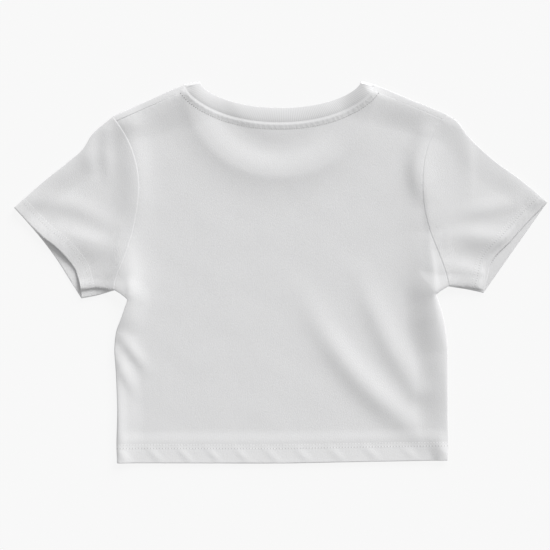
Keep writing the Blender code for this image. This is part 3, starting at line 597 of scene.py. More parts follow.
def neck_rise(plan, distance):
    """The print of the front neckband through the back, and the ridge along the back neck seam.

    The print is read from its table by the distance outwards from the front neck's ellipse, and the
    ridge is a bell of the height above or below the back neck seam.
    """
    x, y = plan[..., 0], plan[..., 1]
    across = (x - NECK_MIDDLE) / NECK_HALF
    down = np.maximum(NECK_TOP - y, 0.0) / FRONT_DROP
    outwards = (np.hypot(across, down) - 1.0) * 0.5 * (NECK_HALF + FRONT_DROP)
    rows = np.array(NECK_PRINT)
    printed = read(rows[:, 0], rows[:, 1:], outwards)[..., 0]
    below = np.abs(y - (NECK_TOP - BACK_DROP * dip(across)))
    ridge = NECK_RIDGE * bell(below, NECK_RIDGE_WIDTH) * (np.abs(across) < 1.0)
    return (printed + ridge) * smooth(distance / PRINT_CLEAR)


def above_hem(plan):
    """Height up the body from the lower edge of its hem."""
    rows = np.array(HEM)
    return plan[..., 1] - np.interp(plan[..., 0], rows[:, 0], rows[:, 1])


def hem_rise(plan, distance):
    """How far the thicker hems lift the back over them, less where it turns at the sides."""
    body = np.abs(plan[..., 0]) < BODY_HALF
    past = (above_hem(plan) - HEM_DEPTH - HEM_STEP) / HEM_SLOPE
    return HEM_RISE * (1.0 - smooth(past)) * smooth(distance / HEM_CLEAR) * body


def edge_height(lip):
    """Height of a folded edge's outermost line, lower where a flat lip lies outside the roll."""
    return FOLD_MIDDLE - (FOLD_MIDDLE - LIP_EDGE) * smooth(lip / LIP_FULL)


def shoulder_frame(side):
    """A shoulder's fold line: its tip, its neck end, and the direction in to the body."""
    tip, neck = np.array(side.shoulder[0][:2]), np.array(side.shoulder[1][:2])
    way = unit(neck - tip)
    inwards = np.array([abs(way[1]) * np.sign(way[0]), -abs(way[0])])
    return tip, neck, inwards


def turn_inside(beyond):
    """How far inside a fold line the cloth lies that is `beyond` it on the flat cut.

    Within one reach of the line it turns on a half circle, and past that it lies flat again.
    """
    turn = np.clip(np.abs(beyond) / FOLD_REACH, 0.0, 1.0) * np.pi / 2
    return np.maximum(np.abs(beyond), FOLD_REACH) - FOLD_REACH * np.cos(turn)


def turn_normals(beyond, inwards):
    """Outward normals of the cloth as it turns over a fold line, by its distance beyond it."""
    turn = np.clip(beyond / FOLD_REACH, -1.0, 1.0)[..., None] * np.pi / 2
    return np.concatenate([-np.cos(turn) * inwards, np.sin(turn)], axis=-1)


def fold_over(flat):
    """Folds a flat-cut front over its two shoulders.

    Returns its new plan points, which of them lie on top, and the outward normals of the fold.
    """
    plan = flat.copy()
    above = np.zeros(flat.shape[:-1], bool)
    normals = np.zeros((*flat.shape[:-1], 3)) - UP
    for side in (LEFT, RIGHT):
        tip, _neck, inwards = shoulder_frame(side)
        beyond = -((flat - tip) * inwards).sum(-1)
        mine = (beyond > -FOLD_REACH) & (flat[..., 0] * side.way > 0)
        moved = flat + (beyond + turn_inside(beyond))[..., None] * inwards
        plan = np.where(mine[..., None], moved, plan)
        above |= mine & (beyond > 0)
        normals = np.where(mine[..., None], turn_normals(beyond, inwards), normals)
    return plan, above, normals


def shoulder_seam(side):
    """The shoulder seam, which lies a little below the fold on the back: its two ends."""
    tip, neck, inwards = shoulder_frame(side)
    line = dense(side.armhole)
    inside = ((line - tip) * inwards).sum(-1)
    outer_end = line[np.argmin(np.abs(inside - SHOULDER_SEAM) + FAR * (line[:, 1] < ARMHOLE_UPPER))]
    return np.stack([outer_end, neck + inwards * SHOULDER_SEAM])


BACK_NECK_LINE = back_neck(np.sin(np.linspace(-np.pi / 2, np.pi / 2, NECK_POINTS)))


def unevenness(plan):
    """Soft waves that keep the cloth from lying dead flat: sines whose crests bend as they go."""
    total = 0.0
    for size, heading, phase, rise in WAVES:
        way = np.radians(heading)
        along_wave = plan[..., 0] * np.cos(way) + plan[..., 1] * np.sin(way)
        across = plan[..., 1] * np.cos(way) - plan[..., 0] * np.sin(way)
        bend = WAVE_BEND * np.sin(across * WAVE_BEND_PACE / size + phase)
        total = total + rise * np.sin(2 * np.pi * along_wave / size + phase + bend)
    return total


def pucker(run, pitch, phase):
    """A wave along a seam, from -1 to 1, whose pitch drifts so that its gathers are uneven."""
    drift = GATHER_DRIFT * np.sin(run / (GATHER_DRIFT_PITCH * pitch) + phase)
    return np.sin(2 * np.pi * run / pitch + drift + phase)


def gathers(run, distance, gather, phase):
    """Little gathers along a seam: its wave, under a bell of the distance from it."""
    return gather.rise * pucker(run, gather.pitch, phase) * bell(distance - gather.middle, gather.width)


def ripples(run, distance, gather, phase):
    """Ripples of a hem: the squared crests of its wave, under a bell of the distance from it."""
    crests = np.maximum(pucker(run, gather.pitch, phase), 0.0) ** 2
    return gather.rise * crests * bell(distance - gather.middle, gather.width)


def seam_step(out, step, fall):
    """A step up beside a seam: a short even rise out from it, which then dies away."""
    return step * smooth(out / SEAM_ROUND) * np.exp(-out / fall)


def grooves(distance, rows):
    """What rows of stitches draw in: a bell at each row's distance from the edge."""
    return GROOVE * sum(bell(distance - row, GROOVE_WIDTH) for row in rows)


def side_relief(plan, side):
    """Relief of one side: the armhole seam, the shoulder seam and the cuff's hem."""
    gap, run, hand = from_line(plan, dense(side.armhole))
    total = seam_step(np.maximum(-hand * side.way, 0.0) * gap, SLEEVE_STEP, SLEEVE_STEP_FALL)
    total += gathers(run, gap, ARMHOLE_GATHER, side.way) - DITCH * bell(gap, DITCH_WIDTH)
    gap, run, hand = from_line(plan, shoulder_seam(side))
    below = np.maximum(hand * side.way, 0.0) * gap
    total += seam_step(below, SHOULDER_STEP, SHOULDER_STEP_FALL) - DITCH * bell(gap, DITCH_WIDTH)
    total += gathers(run, below, SHOULDER_GATHER, side.way) * (below > 0.0)
    gap, run, _hand = from_line(plan, dense(side.cuff_back))
    total += CUFF_STEP * (1.0 - smooth((gap - CUFF_ROWS[1]) / HEM_STEP)) - grooves(gap, CUFF_ROWS)
    return total + ripples(run + CUFF_SLANT * gap, gap, CUFF_RIPPLE, side.way)


def neck_relief(plan):
    """Relief below the back neck seam: its rolled allowance, a bell that falls more slowly below its
    crest than above it, and the groove of its row of stitches."""
    gap, _run, hand = from_line(plan, BACK_NECK_LINE)
    below = np.maximum(-hand, 0.0) * gap
    width = np.where(below < NECK_ROLL_MIDDLE, NECK_ROLL_ABOVE, NECK_ROLL_BELOW)
    roll = NECK_ROLL * bell(below - NECK_ROLL_MIDDLE, width) * smooth(below)
    return roll - NECK_GROOVE * bell(below - NECK_ROW, GROOVE_WIDTH)


def hem_relief(plan):
    """Relief of the body's hem: slanting ripples, and the grooves of its rows of stitches."""
    above = above_hem(plan)
    body = (np.abs(plan[..., 0]) < BODY_HALF) & (above < HEM_RELIEF_TOP)
    slant = plan[..., 0] + HEM_SLANT * above
    return np.where(body, ripples(slant, above, HEM_RIPPLE, 1.0) - grooves(above, HEM_ROWS), 0.0)


def relief(plan):
    """Small relief of the upper layer: the sum of its unevenness and of each seam's and hem's own."""
    sides = side_relief(plan, LEFT) + side_relief(plan, RIGHT)
    return unevenness(plan) + sides + neck_relief(plan) + hem_relief(plan)


def upper_height(plan):
    """Height of the outer face of the layer on top, which is mostly the back.

    The layers beneath, the roll, the folds, the neck and the hem add up. Towards a folded edge that
    sum turns down to the edge's own height on a quarter circle, mixed with a slower curve. Near the
    right cuff's edge the cloth settles by a share of its height over the cuff's rest.
    """
    distance, reach, rise, fall, lip = nearest_edge(plan)
    roll = rise * (1.0 - smooth((distance - lip - reach) / fall))
    inner = LAYERED + roll + fold_rise(plan)[0] + neck_rise(plan, distance) + hem_rise(plan, distance)
    edge = edge_height(lip)
    lip_top = edge + (FOLD_MIDDLE - edge) * quarter(distance / LIP_ROUND)
    past = distance - lip
    slow = SLOW_SHARE * reach
    slow_turn = 1.0 - (1.0 - np.clip(past / reach, 0.0, 1.0)) ** 2
    turned = (1.0 - slow) * quarter(past / TURN) + slow * slow_turn
    height = lip_top + (inner - FOLD_MIDDLE) * turned + relief(plan) * smooth(distance / RELIEF_CLEAR)
    near_cuff = 1.0 - smooth(from_line(plan, dense(RIGHT.cuff_back))[0] / CUFF_REACH)
    return height - CUFF_SETTLE * near_cuff * np.maximum(height - CUFF_REST, 0.0)


def lower_height(plan):
    """Height of the outer face of the layer below: flat on the surface, turned up at its edges."""
    distance, _reach, _rise, _fall, lip = nearest_edge(plan)
    return edge_height(lip) * (1.0 - quarter(distance / FOLD_REACH))


def panel_wall(plan):
    """Thickness of a panel, which is more in its hem."""
    distance = nearest_edge(plan)[0]
    hem = (1.0 - smooth((above_hem(plan) - HEM_DEPTH) / HEM_STEP)) * smooth(distance / HEM_CLEAR)
    return WALL + (HEM_WALL - WALL) * hem


def patch(start, end, left, right, s, t, start_corners, end_corners):
    """Coons patch: a net of plan points that meets four border lines. It is the straight net between
    start and end and that between left and right, less the one between their corners."""
    s, t = s[..., None], t[..., None]
    ruled = (1 - t) * start + t * end + (1 - s) * left + s * right
    low = (1 - s) * start_corners[0] + s * start_corners[1]
    high = (1 - s) * end_corners[0] + s * end_corners[1]
    return ruled - (1 - t) * low - t * high


def panel_net(left, right, top):
    """The plan net of a panel: straight columns from the hem to its top border, pulled sideways
    near the sides to meet the side borders, in rows that start out parallel to the hem."""
    s = shares(top)[None]
    bottom = even(dense(HEM), s[0])
    up = [(line[:, 1] - line[0, 1]) / (line[-1, 1] - line[0, 1]) for line in (left, right)]
    tall = [line[-1, 1] - line[0, 1] for line in (left, right)]
    t = (1 - s) * up[0][:, None] + s * up[1][:, None]
    ratio = ((1 - s) * tall[0] + s * tall[1]) / (top[:, 1] - bottom[:, 1])
    t = t * (1.0 + (ratio - 1.0) * (1.0 - smooth(t / EVEN_ROWS)))
    net = (1 - t)[..., None] * bottom + t[..., None] * top
    for line, rise, from_side in ((left, up[0], s), (right, up[1], 1 - s)):
        straight = (1 - rise)[:, None] * line[0] + rise[:, None] * line[-1]
        pull = (1.0 - smooth(from_side / SIDE_PULL))[..., None]
        net += pull * (line - straight)[:, None]
    return net


def face_normals(grid, ring=False):
    """Unit normals of a grid of points; ring says that its rows are closed loops."""
    if ring:
        across = np.roll(grid, -1, axis=1) - np.roll(grid, 1, axis=1)
    else:
        across = np.gradient(grid, axis=1)
    return unit(np.cross(across, np.gradient(grid, axis=0)))


def lift(plan, height):
    """Plan points with their heights as a third column."""
    return np.concatenate([plan, height[..., None]], axis=-1)


def corner_rings(index):
    """The four corners of every quad of a grid of numbers."""
    corners = (index[:-1, :-1], index[:-1, 1:], index[1:, 1:], index[1:, :-1])
    return np.stack(corners, axis=-1).reshape(-1, 4)


def border_quads(index, under):
    """Quads between the same border of two grids, for a border that runs along the last axis."""
    return np.stack([index[1:], index[:-1], under[:-1], under[1:]], axis=-1)


def mesh_object(name, points, quads, uv, cloth, marks=()):
    """A piece from points in millimetres in plan, quads of them, and a UV pair for every corner.

    marks are measures of its points that the finish reads: each is a name and its values.
    """
    mesh = bpy.data.meshes.new(name)
    mesh.vertices.add(len(points))
    mesh.vertices.foreach_set("co", ((points + PLAN_TO_FRAME) * MM).ravel())
    mesh.loops.add(quads.size)
    mesh.loops.foreach_set("vertex_index", quads.ravel())
    mesh.polygons.add(len(quads))
    mesh.polygons.foreach_set("loop_start", np.arange(0, quads.size, 4))
    mesh.polygons.foreach_set("loop_total", np.full(len(quads), 4))
    mesh.uv_layers.new(name="cloth").data.foreach_set("uv", (uv * MM).ravel())
    for mark, values in marks:
        layer = mesh.attributes.new(mark, "FLOAT", "POINT")
        layer.data.foreach_set("value", values.astype(np.float32))
    mesh.update(calc_edges=True)
    mesh.validate()
    mesh.shade_smooth()
    mesh.set_sharp_from_angle(angle=np.radians(SHARP_ANGLE))
    mesh.materials.append(cloth)
    piece = bpy.data.objects.new(name, mesh)
    bpy.context.scene.collection.objects.link(piece)
    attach(piece, "root")
    return piece


def cloth_wall(name, outer, normals, thick, free, uv, cloth, marks=(), rings=(False, False)):
    """A closed wall of cloth: its outer face, the same moved in by its thickness, and the borders.

    free is the distance from a folded-up hem edge, where both faces draw together on a quarter
    circle. rings says whether the rows and the columns run round, and uv then has one row or column
    more.
    """
    ease = quarter(free / EDGE_ROUND)
    closing = EDGE_DEPTH + EDGE_TILT * normals[..., 2]
    outer = outer - normals * (thick * (1.0 - ease) * closing)[..., None]
    inner = outer - normals * (thick * np.maximum(ease, EDGE_LEAST))[..., None]
    rows, columns = outer.shape[:2]
    index = np.arange(rows * columns).reshape(rows, columns)
    index = np.concatenate([index, index[:1]], axis=0) if rings[0] else index
    index = np.concatenate([index, index[:, :1]], axis=1) if rings[1] else index
    place = np.arange(index.size).reshape(index.shape)
    quads, places = [], []
    for grid, under, made in ((index, index + rows * columns, quads), (place, place, places)):
        made.append(corner_rings(grid))
        made.append(corner_rings(under)[:, ::-1])
        if not rings[0]:
            made.append(border_quads(grid[0], under[0]))
            made.append(border_quads(grid[-1], under[-1])[:, ::-1])
        if not rings[1]:
            made.append(border_quads(grid[:, 0], under[:, 0])[:, ::-1])
            made.append(border_quads(grid[:, -1], under[:, -1]))
    points = np.concatenate([outer.reshape(-1, 3), inner.reshape(-1, 3)])
    corners = uv.reshape(-1, 2)[np.concatenate(places)]
    both = [(mark, np.tile(values.ravel(), 2)) for mark, values in marks]
    return mesh_object(name, points, np.concatenate(quads), corners, cloth, both)


def jersey_marks(hem, white, neck=FAR, along_neck=0.0):
    """What the jersey's finish reads at each point: the distance from the inner row of a hem's
    stitches, the distance from the row below the neck seam and the run along that seam, and how much
    of the whiter colour the hem takes, which is partly the doubled cloth's own and partly painted light."""
    values = {"hem": hem, "neck": neck, "along": along_neck, "white": white}
    return [(mark, np.broadcast_to(value, hem.shape)) for mark, value in values.items()]


def steps_between(start, end, size):
    """Even places from start to end, both included, about one size apart."""
    return np.linspace(start, end, max(2, int(round(abs(end - start) / size)) + 1))


def near_and_even(near, run, size):
    """Shares of a line: those of the places near its start, then of even ones to its end."""
    return np.concatenate([near[:-1], steps_between(near[-1], run, size)]) / run


def side_border(side, low, high):
    """Points up a side seam and its tuck, to just short of the underarm."""
    line, tuck = dense(side.seam), dense(side.tuck)
    tall = length(line)
    hem = steps_between(0.0, HEM_FINE, low)[1:-1]
    run = np.concatenate([NEAR_HEM, hem, steps_between(HEM_FINE, tall, high)]) / tall
    fine = steps_between(0.0, length(tuck), TUCK_FINENESS * high)[1:-1] / length(tuck)
    return np.concatenate([even(line, run), even(tuck, fine)])


def armhole_place(side, inside):
    """How far up an armhole seam the cloth is that far inside the shoulder's fold line."""
    line = dense(side.armhole)
    tip, _neck, inwards = shoulder_frame(side)
    run = shares(line) * length(line)
    depth = ((line - tip) * inwards).sum(-1)
    return np.interp(-inside, -depth[-ARMHOLE_UPPER_POINTS:], run[-ARMHOLE_UPPER_POINTS:])


def armhole_places(side, size):
    """Places up an armhole seam to where the shoulder seam meets it, closer near both its ends."""
    end = armhole_place(side, SHOULDER_SEAM)
    fine = end - SHOULDER_FINE
    return np.concatenate([
        NEAR_UNDERARM[:-1], steps_between(NEAR_UNDERARM[-1], fine, size)[:-1],
        steps_between(fine, end, SHOULDER_FINENESS * size),
    ])


def matched(borders):
    """Two borders with as many points as the shorter has, spread among its points as before."""
    count, made = min(len(border) for border in borders), []
    for border in borders:
        where = np.linspace(0.0, len(border) - 1.0, count)
        columns = [np.interp(where, np.arange(len(border)), border[:, k]) for k in (0, 1)]
        made.append(np.stack(columns, axis=-1))
    return made


def build_back():
    """The back: laid on the front, rolled at its folded edges, with drag folds over one hip."""
    borders, seams = [], []
    for side in (LEFT, RIGHT):
        line, seam = dense(side.armhole), shoulder_seam(side)
        armhole = even(line, armhole_places(side, BACK_SPACING) / length(line))
        armhole[-1] = seam[0]
        borders.append(np.concatenate([side_border(side, BACK_HEM_SPACING, BACK_SPACING), armhole]))
        seams.append(even(seam, near_and_even(NEAR_FOLD, length(seam), BACK_SEAM_SPACING)))
    left, right = matched(borders)
    corner = np.arcsin(NECK_CORNER)
    neck = back_neck(np.sin(np.linspace(-corner, corner, BACK_NECK_POINTS)))[1:-1]
    plan = panel_net(left, right, np.concatenate([seams[0], neck, seams[1][::-1]]))
    grid = lift(plan, upper_height(plan))
    above = above_hem(plan)
    gap, run, _hand = from_line(plan, BACK_NECK_LINE)
    marks = jersey_marks(above - HEM_ROWS[1], 1.0, gap - NECK_ROW, run)
    thick = panel_wall(plan)
    piece = cloth_wall("back_jersey", grid, face_normals(grid), thick, above, plan, JERSEY, marks)
    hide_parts("back_panel")
    return piece


def build_front():
    """The front: flat on the surface, curled up to its side seams and folded over its shoulders."""
    borders, seams, turns = [], [], []
    past_turn = steps_between(FOLD_REACH, SHOULDER_SEAM, TURN_SPACING)[1:]
    turn = np.linspace(-FOLD_REACH, FOLD_REACH, TURN_POINTS)
    beyond = np.concatenate([-past_turn[::-1], turn, past_turn])
    for side in (LEFT, RIGHT):
        line = dense(side.armhole)
        _tip, neck, inwards = shoulder_frame(side)
        folded = even(line, armhole_place(side, turn_inside(beyond)) / length(line))
        flat = folded - (beyond + turn_inside(beyond))[:, None] * inwards
        armhole = even(line, armhole_places(side, FRONT_SPACING)[:-1] / length(line))
        borders.append(np.concatenate([side_border(side, FRONT_HEM_SPACING, FRONT_SPACING), armhole, flat]))
        ends = np.stack([flat[-1], neck - inwards * SHOULDER_SEAM])
        seams.append(even(ends, near_and_even(NEAR_FRONT_FOLD, length(ends), FRONT_SEAM_SPACING)))
        turns.append(neck - inwards * beyond[NECK_TURN_START:-1][::-1, None])
    left, right = matched(borders)
    neck = front_neck(np.linspace(0.0, np.pi, FRONT_NECK_POINTS))
    top = np.concatenate([seams[0], turns[0], neck, turns[1][::-1], seams[1][::-1]])
    flat = panel_net(left, right, top)
    plan, above, normals = fold_over(flat)
    grid = lift(plan, np.where(above, upper_height(plan), lower_height(plan)))
    curled = (nearest_edge(plan)[0] < FOLD_REACH) & (normals[..., 2] == -1.0)
    normals = np.where(curled[..., None], -face_normals(grid), normals)
    grid, normals, flat = grid[:, ::-1], normals[:, ::-1], flat[:, ::-1]
    free = above_hem(flat)
    thick = panel_wall(grid[..., :2])
    marks = jersey_marks(free - HEM_ROWS[1], 1.0)
    piece = cloth_wall("front_jersey", grid, normals, thick, free, flat, JERSEY, marks)
    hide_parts("front_panel")
    return piece


def sleeve_places(side, rows):
    """Places round a sleeve for each of its rows, from 0 at the top fold to 1 at the underside."""
    seam, cuff = length(dense(side.armhole)), length(dense(side.cuff_front))
    width = (seam + (cuff - seam) * rows)[:, None]
    top = np.array(NEAR_FOLD)[None] / width
    low = 1.0 - np.array(NEAR_UNDERSIDE)[None] / width
    between = np.linspace(0.0, 1.0, SLEEVE_AROUND + 2)[None, 1:-1]
    middle = top[:, -1:] + (low[:, :1] - top[:, -1:]) * between
    return np.concatenate([top, middle, low], axis=1)


def sleeve_width(side):
    """The flat width of one layer of a sleeve, about half way along it."""
    return length(dense(side.cuff_front)) + SLEEVE_EASE


def sleeve_net(side, cuff, rows, q):
    """The plan net of one layer of a sleeve, from the armhole seam to the cuff's edge."""
    seam, fold, under = dense(side.armhole[::-1]), dense(side.sleeve_top), dense(side.underside)
    edge = dense(cuff)
    r = np.repeat(rows[:, None], q.shape[1], axis=1)
    sides = (even(fold, rows)[:, None], even(under, rows)[:, None])
    return patch(even(seam, q), even(edge, q), *sides, q, r, (seam[0], seam[-1]), (edge[0], edge[-1]))


def sleeve_rows(side):
    """Rows of a sleeve, closer together in the cuff's hem."""
    tall = length(dense(side.sleeve_top))
    hem = tall - CUFF_FINE
    cuff = tall - np.array(NEAR_CUFF)
    return np.concatenate([
        NEAR_SLEEVE_SEAM[:-1], steps_between(NEAR_SLEEVE_SEAM[-1], hem, SLEEVE_SPACING),
        steps_between(hem, cuff[0], CUFF_SPACING)[1:], cuff[1:],
    ]) / tall


def build_sleeve(side, name, solid):
    """A short sleeve: one flattened tube, from the armhole seam to its open, hemmed cuff."""
    rows = sleeve_rows(side)
    q = sleeve_places(side, rows)
    upper = sleeve_net(side, side.cuff_back, rows, q)
    lower = sleeve_net(side, side.cuff_front, rows, q)[:, -2:0:-1]
    grid = np.concatenate([lift(upper, upper_height(upper)), lift(lower, lower_height(lower))], axis=1)
    normals = face_normals(grid, ring=True) * side.way
    layers = ((upper, side.cuff_back), (lower, side.cuff_front))
    free = np.concatenate([from_line(plan, dense(cuff))[0] for plan, cuff in layers], axis=1)
    hem = 1.0 - smooth((free - CUFF_DEPTH) / HEM_STEP)
    thick = WALL + (CUFF_WALL - WALL) * hem
    inner_row = free - CUFF_ROWS[1]
    free[-1] = 0.0
    turned = np.concatenate([q, 2.0 - q[:, -2::-1]], axis=1)
    width, deep = sleeve_width(side), length(dense(side.sleeve_top))
    uv = np.stack([turned * width, np.broadcast_to(rows[:, None] * deep, turned.shape)], axis=-1)
    if side.way < 0:
        parts = (grid, normals, thick, free, inner_row)
        grid, normals, thick, free, inner_row = (part[:, ::-1] for part in parts)
        uv = np.roll(uv[:, :-1], -1, axis=1)[:, ::-1]
        uv = np.concatenate([uv, uv[:, :1] - (2.0 * width, 0.0)], axis=1)
    marks = jersey_marks(inner_row, side.white)
    piece = cloth_wall(name, grid, normals, thick, free, uv, JERSEY, marks, rings=(False, True))
    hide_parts(solid)
    return piece


def band_turn(side, free_edge):
    """The neckband's turn over the end of a shoulder: seam points, free edge points and normals."""
    _tip, neck, inwards = shoulder_frame(side)
    beyond = FOLD_REACH * np.linspace(1.0, -1.0, BAND_TURN_POINTS + 2)[1:-1]
    inside = turn_inside(beyond)[:, None] * inwards
    normal = turn_normals(beyond, inwards)
    height = FOLD_MIDDLE * (1.0 + normal[:, 2:])
    seam = np.concatenate([neck + inside, height], axis=1)
    free = np.concatenate([free_edge - FOLD_REACH * inwards + inside, height], axis=1)
    return seam, free, normal


def build_neckband():
    """The neckband: a ring of doubled rib, its back half on top and its front half underneath.

    Its rows lie straight across it, from the neck seam to its free edge, and its face is crowned by a
    parabola between them.
    """
    share = np.array(BAND_ACROSS)[None, :, None]
    middle = NECK_MIDDLE + BAND_MIDDLE
    u = np.sin(np.linspace(-np.pi / 2, np.pi / 2, BAND_BACK_POINTS))
    free = np.stack([middle + BAND_HALF * u, BAND_TOP - BAND_BACK_DROP * dip(u)], axis=-1)
    back = back_neck(u)[:, None] * (1 - share) + free[:, None] * share
    angle = np.linspace(np.pi, 0.0, BAND_FRONT_POINTS)
    drop = BAND_TOP - NECK_TOP + FRONT_DROP - BAND_WIDTH
    low = np.stack([middle - BAND_HALF * np.cos(angle), BAND_TOP - drop * np.sin(angle)], axis=-1)
    front = front_neck(angle)[:, None] * (1 - share) + low[:, None] * share
    right_turn = band_turn(RIGHT, free[-1])
    left_turn = [part[::-1] for part in band_turn(LEFT, free[0])]
    crown = BAND_CROWN * (1.0 - (2.0 * share[..., 0] - 1.0) ** 2)
    grid = np.concatenate([
        lift(back, np.maximum(upper_height(back), BAND_LOWEST) + crown),
        right_turn[0][:, None] * (1 - share) + right_turn[1][:, None] * share,
        lift(front, np.zeros(front.shape[:2])),
        left_turn[0][:, None] * (1 - share) + left_turn[1][:, None] * share,
    ])
    row_normals = np.concatenate([
        np.repeat(UP[None], len(back), axis=0), right_turn[2],
        np.repeat(-UP[None], len(front), axis=0), left_turn[2],
    ])
    normals = np.broadcast_to(row_normals[:, None], grid.shape)
    across = share[..., 0] * BAND_WIDTH
    middle_line = grid[:, len(BAND_ACROSS) // 2]
    run = run_of(np.concatenate([middle_line, middle_line[:1]]))[:, None]
    uv = np.stack(np.broadcast_arrays(run, across), axis=-1)
    thick = np.full(grid.shape[:2], BAND_WALL)
    free_run = BAND_EDGE_PACE * np.broadcast_to(BAND_WIDTH - across, thick.shape)
    grid, normals, uv, free_run = (part[:, ::-1] for part in (grid, normals, uv, free_run))
    piece = cloth_wall("neckband_rib", grid, normals, thick, free_run, uv, RIB, rings=(True, False))
    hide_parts("neckband")
    return piece


def resampled(path, size):
    """Rows of a path, whose first columns are x and y, read again about one size apart in plan."""
    run = run_of(path[:, :2])
    where = np.linspace(0.0, run[-1], int(round(run[-1] / size)) + 1)
    return np.stack([np.interp(where, run, path[:, k]) for k in range(path.shape[1])], axis=-1)


def stitched(name, paths, pitch):
    """Rows of stitches: along each path a thread comes up for most of every stitch and goes down
    into the holes between them, by a bell of the distance from the nearest hole. A thread is a tube
    of six sides, closed at both ends.

    The columns of a path are x, y and the run by which its stitches are counted.
    """
    points, quads, uv, first = [], [], [], 0
    angle = np.arange(THREAD_SIDES + 1) * 2 * np.pi / THREAD_SIDES
    halves = ([0, 1, 2, 3], [0, 3, 4, 5])
    for path in paths:
        path = resampled(path, pitch / STITCH_STEPS)
        line = lift(path[:, :2], upper_height(path[:, :2]))
        from_hole = np.abs((path[:, 2] / pitch) % 1.0 - 0.5) * pitch
        line[:, 2] -= THREAD * (THREAD_SINK + THREAD_DIP * bell(from_hole, THREAD_DIP_WIDTH))
        way = unit(np.gradient(line, axis=0))
        aside = unit(np.cross(way, UP))
        over = np.cross(aside, way)
        size = np.full(len(line), THREAD)
        size[[0, -1]] = THREAD_TIP
        ring = aside[:, None] * np.cos(angle)[:, None] + over[:, None] * np.sin(angle)[:, None]
        tube = line[:, None] + ring * size[:, None, None]
        index = np.arange(len(line) * THREAD_SIDES).reshape(-1, THREAD_SIDES) + first
        index = np.concatenate([index, index[:, :1]], axis=1)
        grid = np.stack(np.meshgrid(angle, np.arange(len(line)) * pitch / STITCH_STEPS), axis=-1)
        places = corner_rings(np.arange(grid[..., 0].size).reshape(-1, THREAD_SIDES + 1))
        ends = [index[0, half] for half in halves] + [index[-1, half[::-1]] for half in halves]
        quads += [corner_rings(index), np.array(ends)]
        uv += [grid.reshape(-1, 2)[places], np.zeros((len(ends), 4, 2))]
        points.append(tube[:, :-1].reshape(-1, 3))
        first += len(line) * THREAD_SIDES
    return mesh_object(name, *(np.concatenate(parts) for parts in (points, quads, uv)), THREAD_FINISH)


def hem_paths():
    """The two rows of stitches round the hem, seen on the back."""
    rows = np.array(HEM)
    x = np.linspace(rows[0, 0] + HEM_THREAD_INSET, rows[-1, 0] - HEM_THREAD_INSET, LINE_POINTS)
    return [np.stack([x, np.interp(x, rows[:, 0], rows[:, 1]) + row, x], axis=-1) for row in HEM_ROWS]


def cuff_paths(side):
    """The two rows of stitches round a cuff, where its upper layer is that far from its edge. They
    stop two columns short of the sleeve's folds."""
    rows = sleeve_rows(side)
    q = sleeve_places(side, rows)
    net = sleeve_net(side, side.cuff_back, rows, q)
    net = np.concatenate([net, q[..., None] * sleeve_width(side)], axis=-1)
    free = from_line(net[..., :2], dense(side.cuff_back))[0]
    steps = np.arange(len(rows))
    paths = []
    for row in CUFF_ROWS:
        place = [np.interp(-row, -free[:, k], steps) for k in range(q.shape[1])]
        path = [[np.interp(p, steps, net[:, k, c]) for c in range(3)] for k, p in enumerate(place)]
        paths.append(np.array(path)[2:-2])
    return paths


def neck_path():
    """The row of stitches below the back neck seam, between the shoulder seams."""
    line = BACK_NECK_LINE[1:-1]
    way = unit(np.gradient(line, axis=0))
    path = line + np.stack([way[:, 1], -way[:, 0]], axis=-1) * NECK_ROW
    run = from_line(path, BACK_NECK_LINE)[1]
    path = np.concatenate([path, run[:, None]], axis=-1)
    left, right = (shoulder_seam(side)[1, 0] for side in (LEFT, RIGHT))
    return [path[(path[:, 0] > left) & (path[:, 0] < right)]]


class Value:
    """A shader socket that arithmetic adds Math nodes to."""

    def __init__(self, tree, socket):
        self.tree, self.socket = tree, socket

    def math(self, operation, *others, flip=False):
        """A Math node of this value and the others, or of them in the other order."""
        values = [self, *others]
        inputs = dict(enumerate(values[::-1] if flip else values))
        return node(self.tree, "ShaderNodeMath", {"operation": operation}, inputs)

    def __add__(self, other):
        return self.math("ADD", other)

    def __sub__(self, other):
        return self.math("SUBTRACT", other)

    def __rsub__(self, other):
        return self.math("SUBTRACT", other, flip=True)

    def __mul__(self, other):
        return self.math("MULTIPLY", other)

    __radd__ = __add__
    __rmul__ = __mul__

    def sine(self):
        """Its sine, in radians."""
        return self.math("SINE")

    def absolute(self):
        """Its size without its sign."""
        return self.math("ABSOLUTE")

    def within(self, low, high):
        """0 at low and beyond it, 1 at high and beyond it, in a straight line between them."""
        ramp = (self - low) * (1.0 / (high - low))
        return ramp.math("MAXIMUM", 0.0).math("MINIMUM", 1.0)


def connect(tree, target, value):
    """Links a socket to an input, or sets the input to a plain value."""
    if isinstance(value, Value):
        tree.links.new(value.socket, target)
    else:
        target.default_value = value


def node(tree, kind, settings, values, output=0):
    """Adds a node: its settings first, then its inputs by name, and returns one of its outputs."""
    made = tree.nodes.new(kind)
    for key, value in settings.items():
        setattr(made, key, value)
    for key, value in values.items():
        connect(tree, made.inputs[key], value)
    return Value(tree, made.outputs[output])


def attribute(tree, name):
    """One of the marks of a piece's points."""
    return node(tree, "ShaderNodeAttribute", {"attribute_name": name}, {}, output=2)


def noise(tree, vector, scale, detail=2.0):
    """Soft noise, so many lumps to the metre."""
    return node(tree, "ShaderNodeTexNoise", {}, {"Vector": vector, "Scale": scale, "Detail": detail})


def mixed(tree, share, first, second):
    """The first colour, and by its share the second."""
    inputs = {0: share, 6: first, 7: second}
    return node(tree, "ShaderNodeMix", {"data_type": "RGBA"}, inputs, output=2)


def split(tree, vector):
    """The first two parts of a vector."""
    first = node(tree, "ShaderNodeSeparateXYZ", {}, {0: vector})
    return first, Value(tree, first.socket.node.outputs[1])


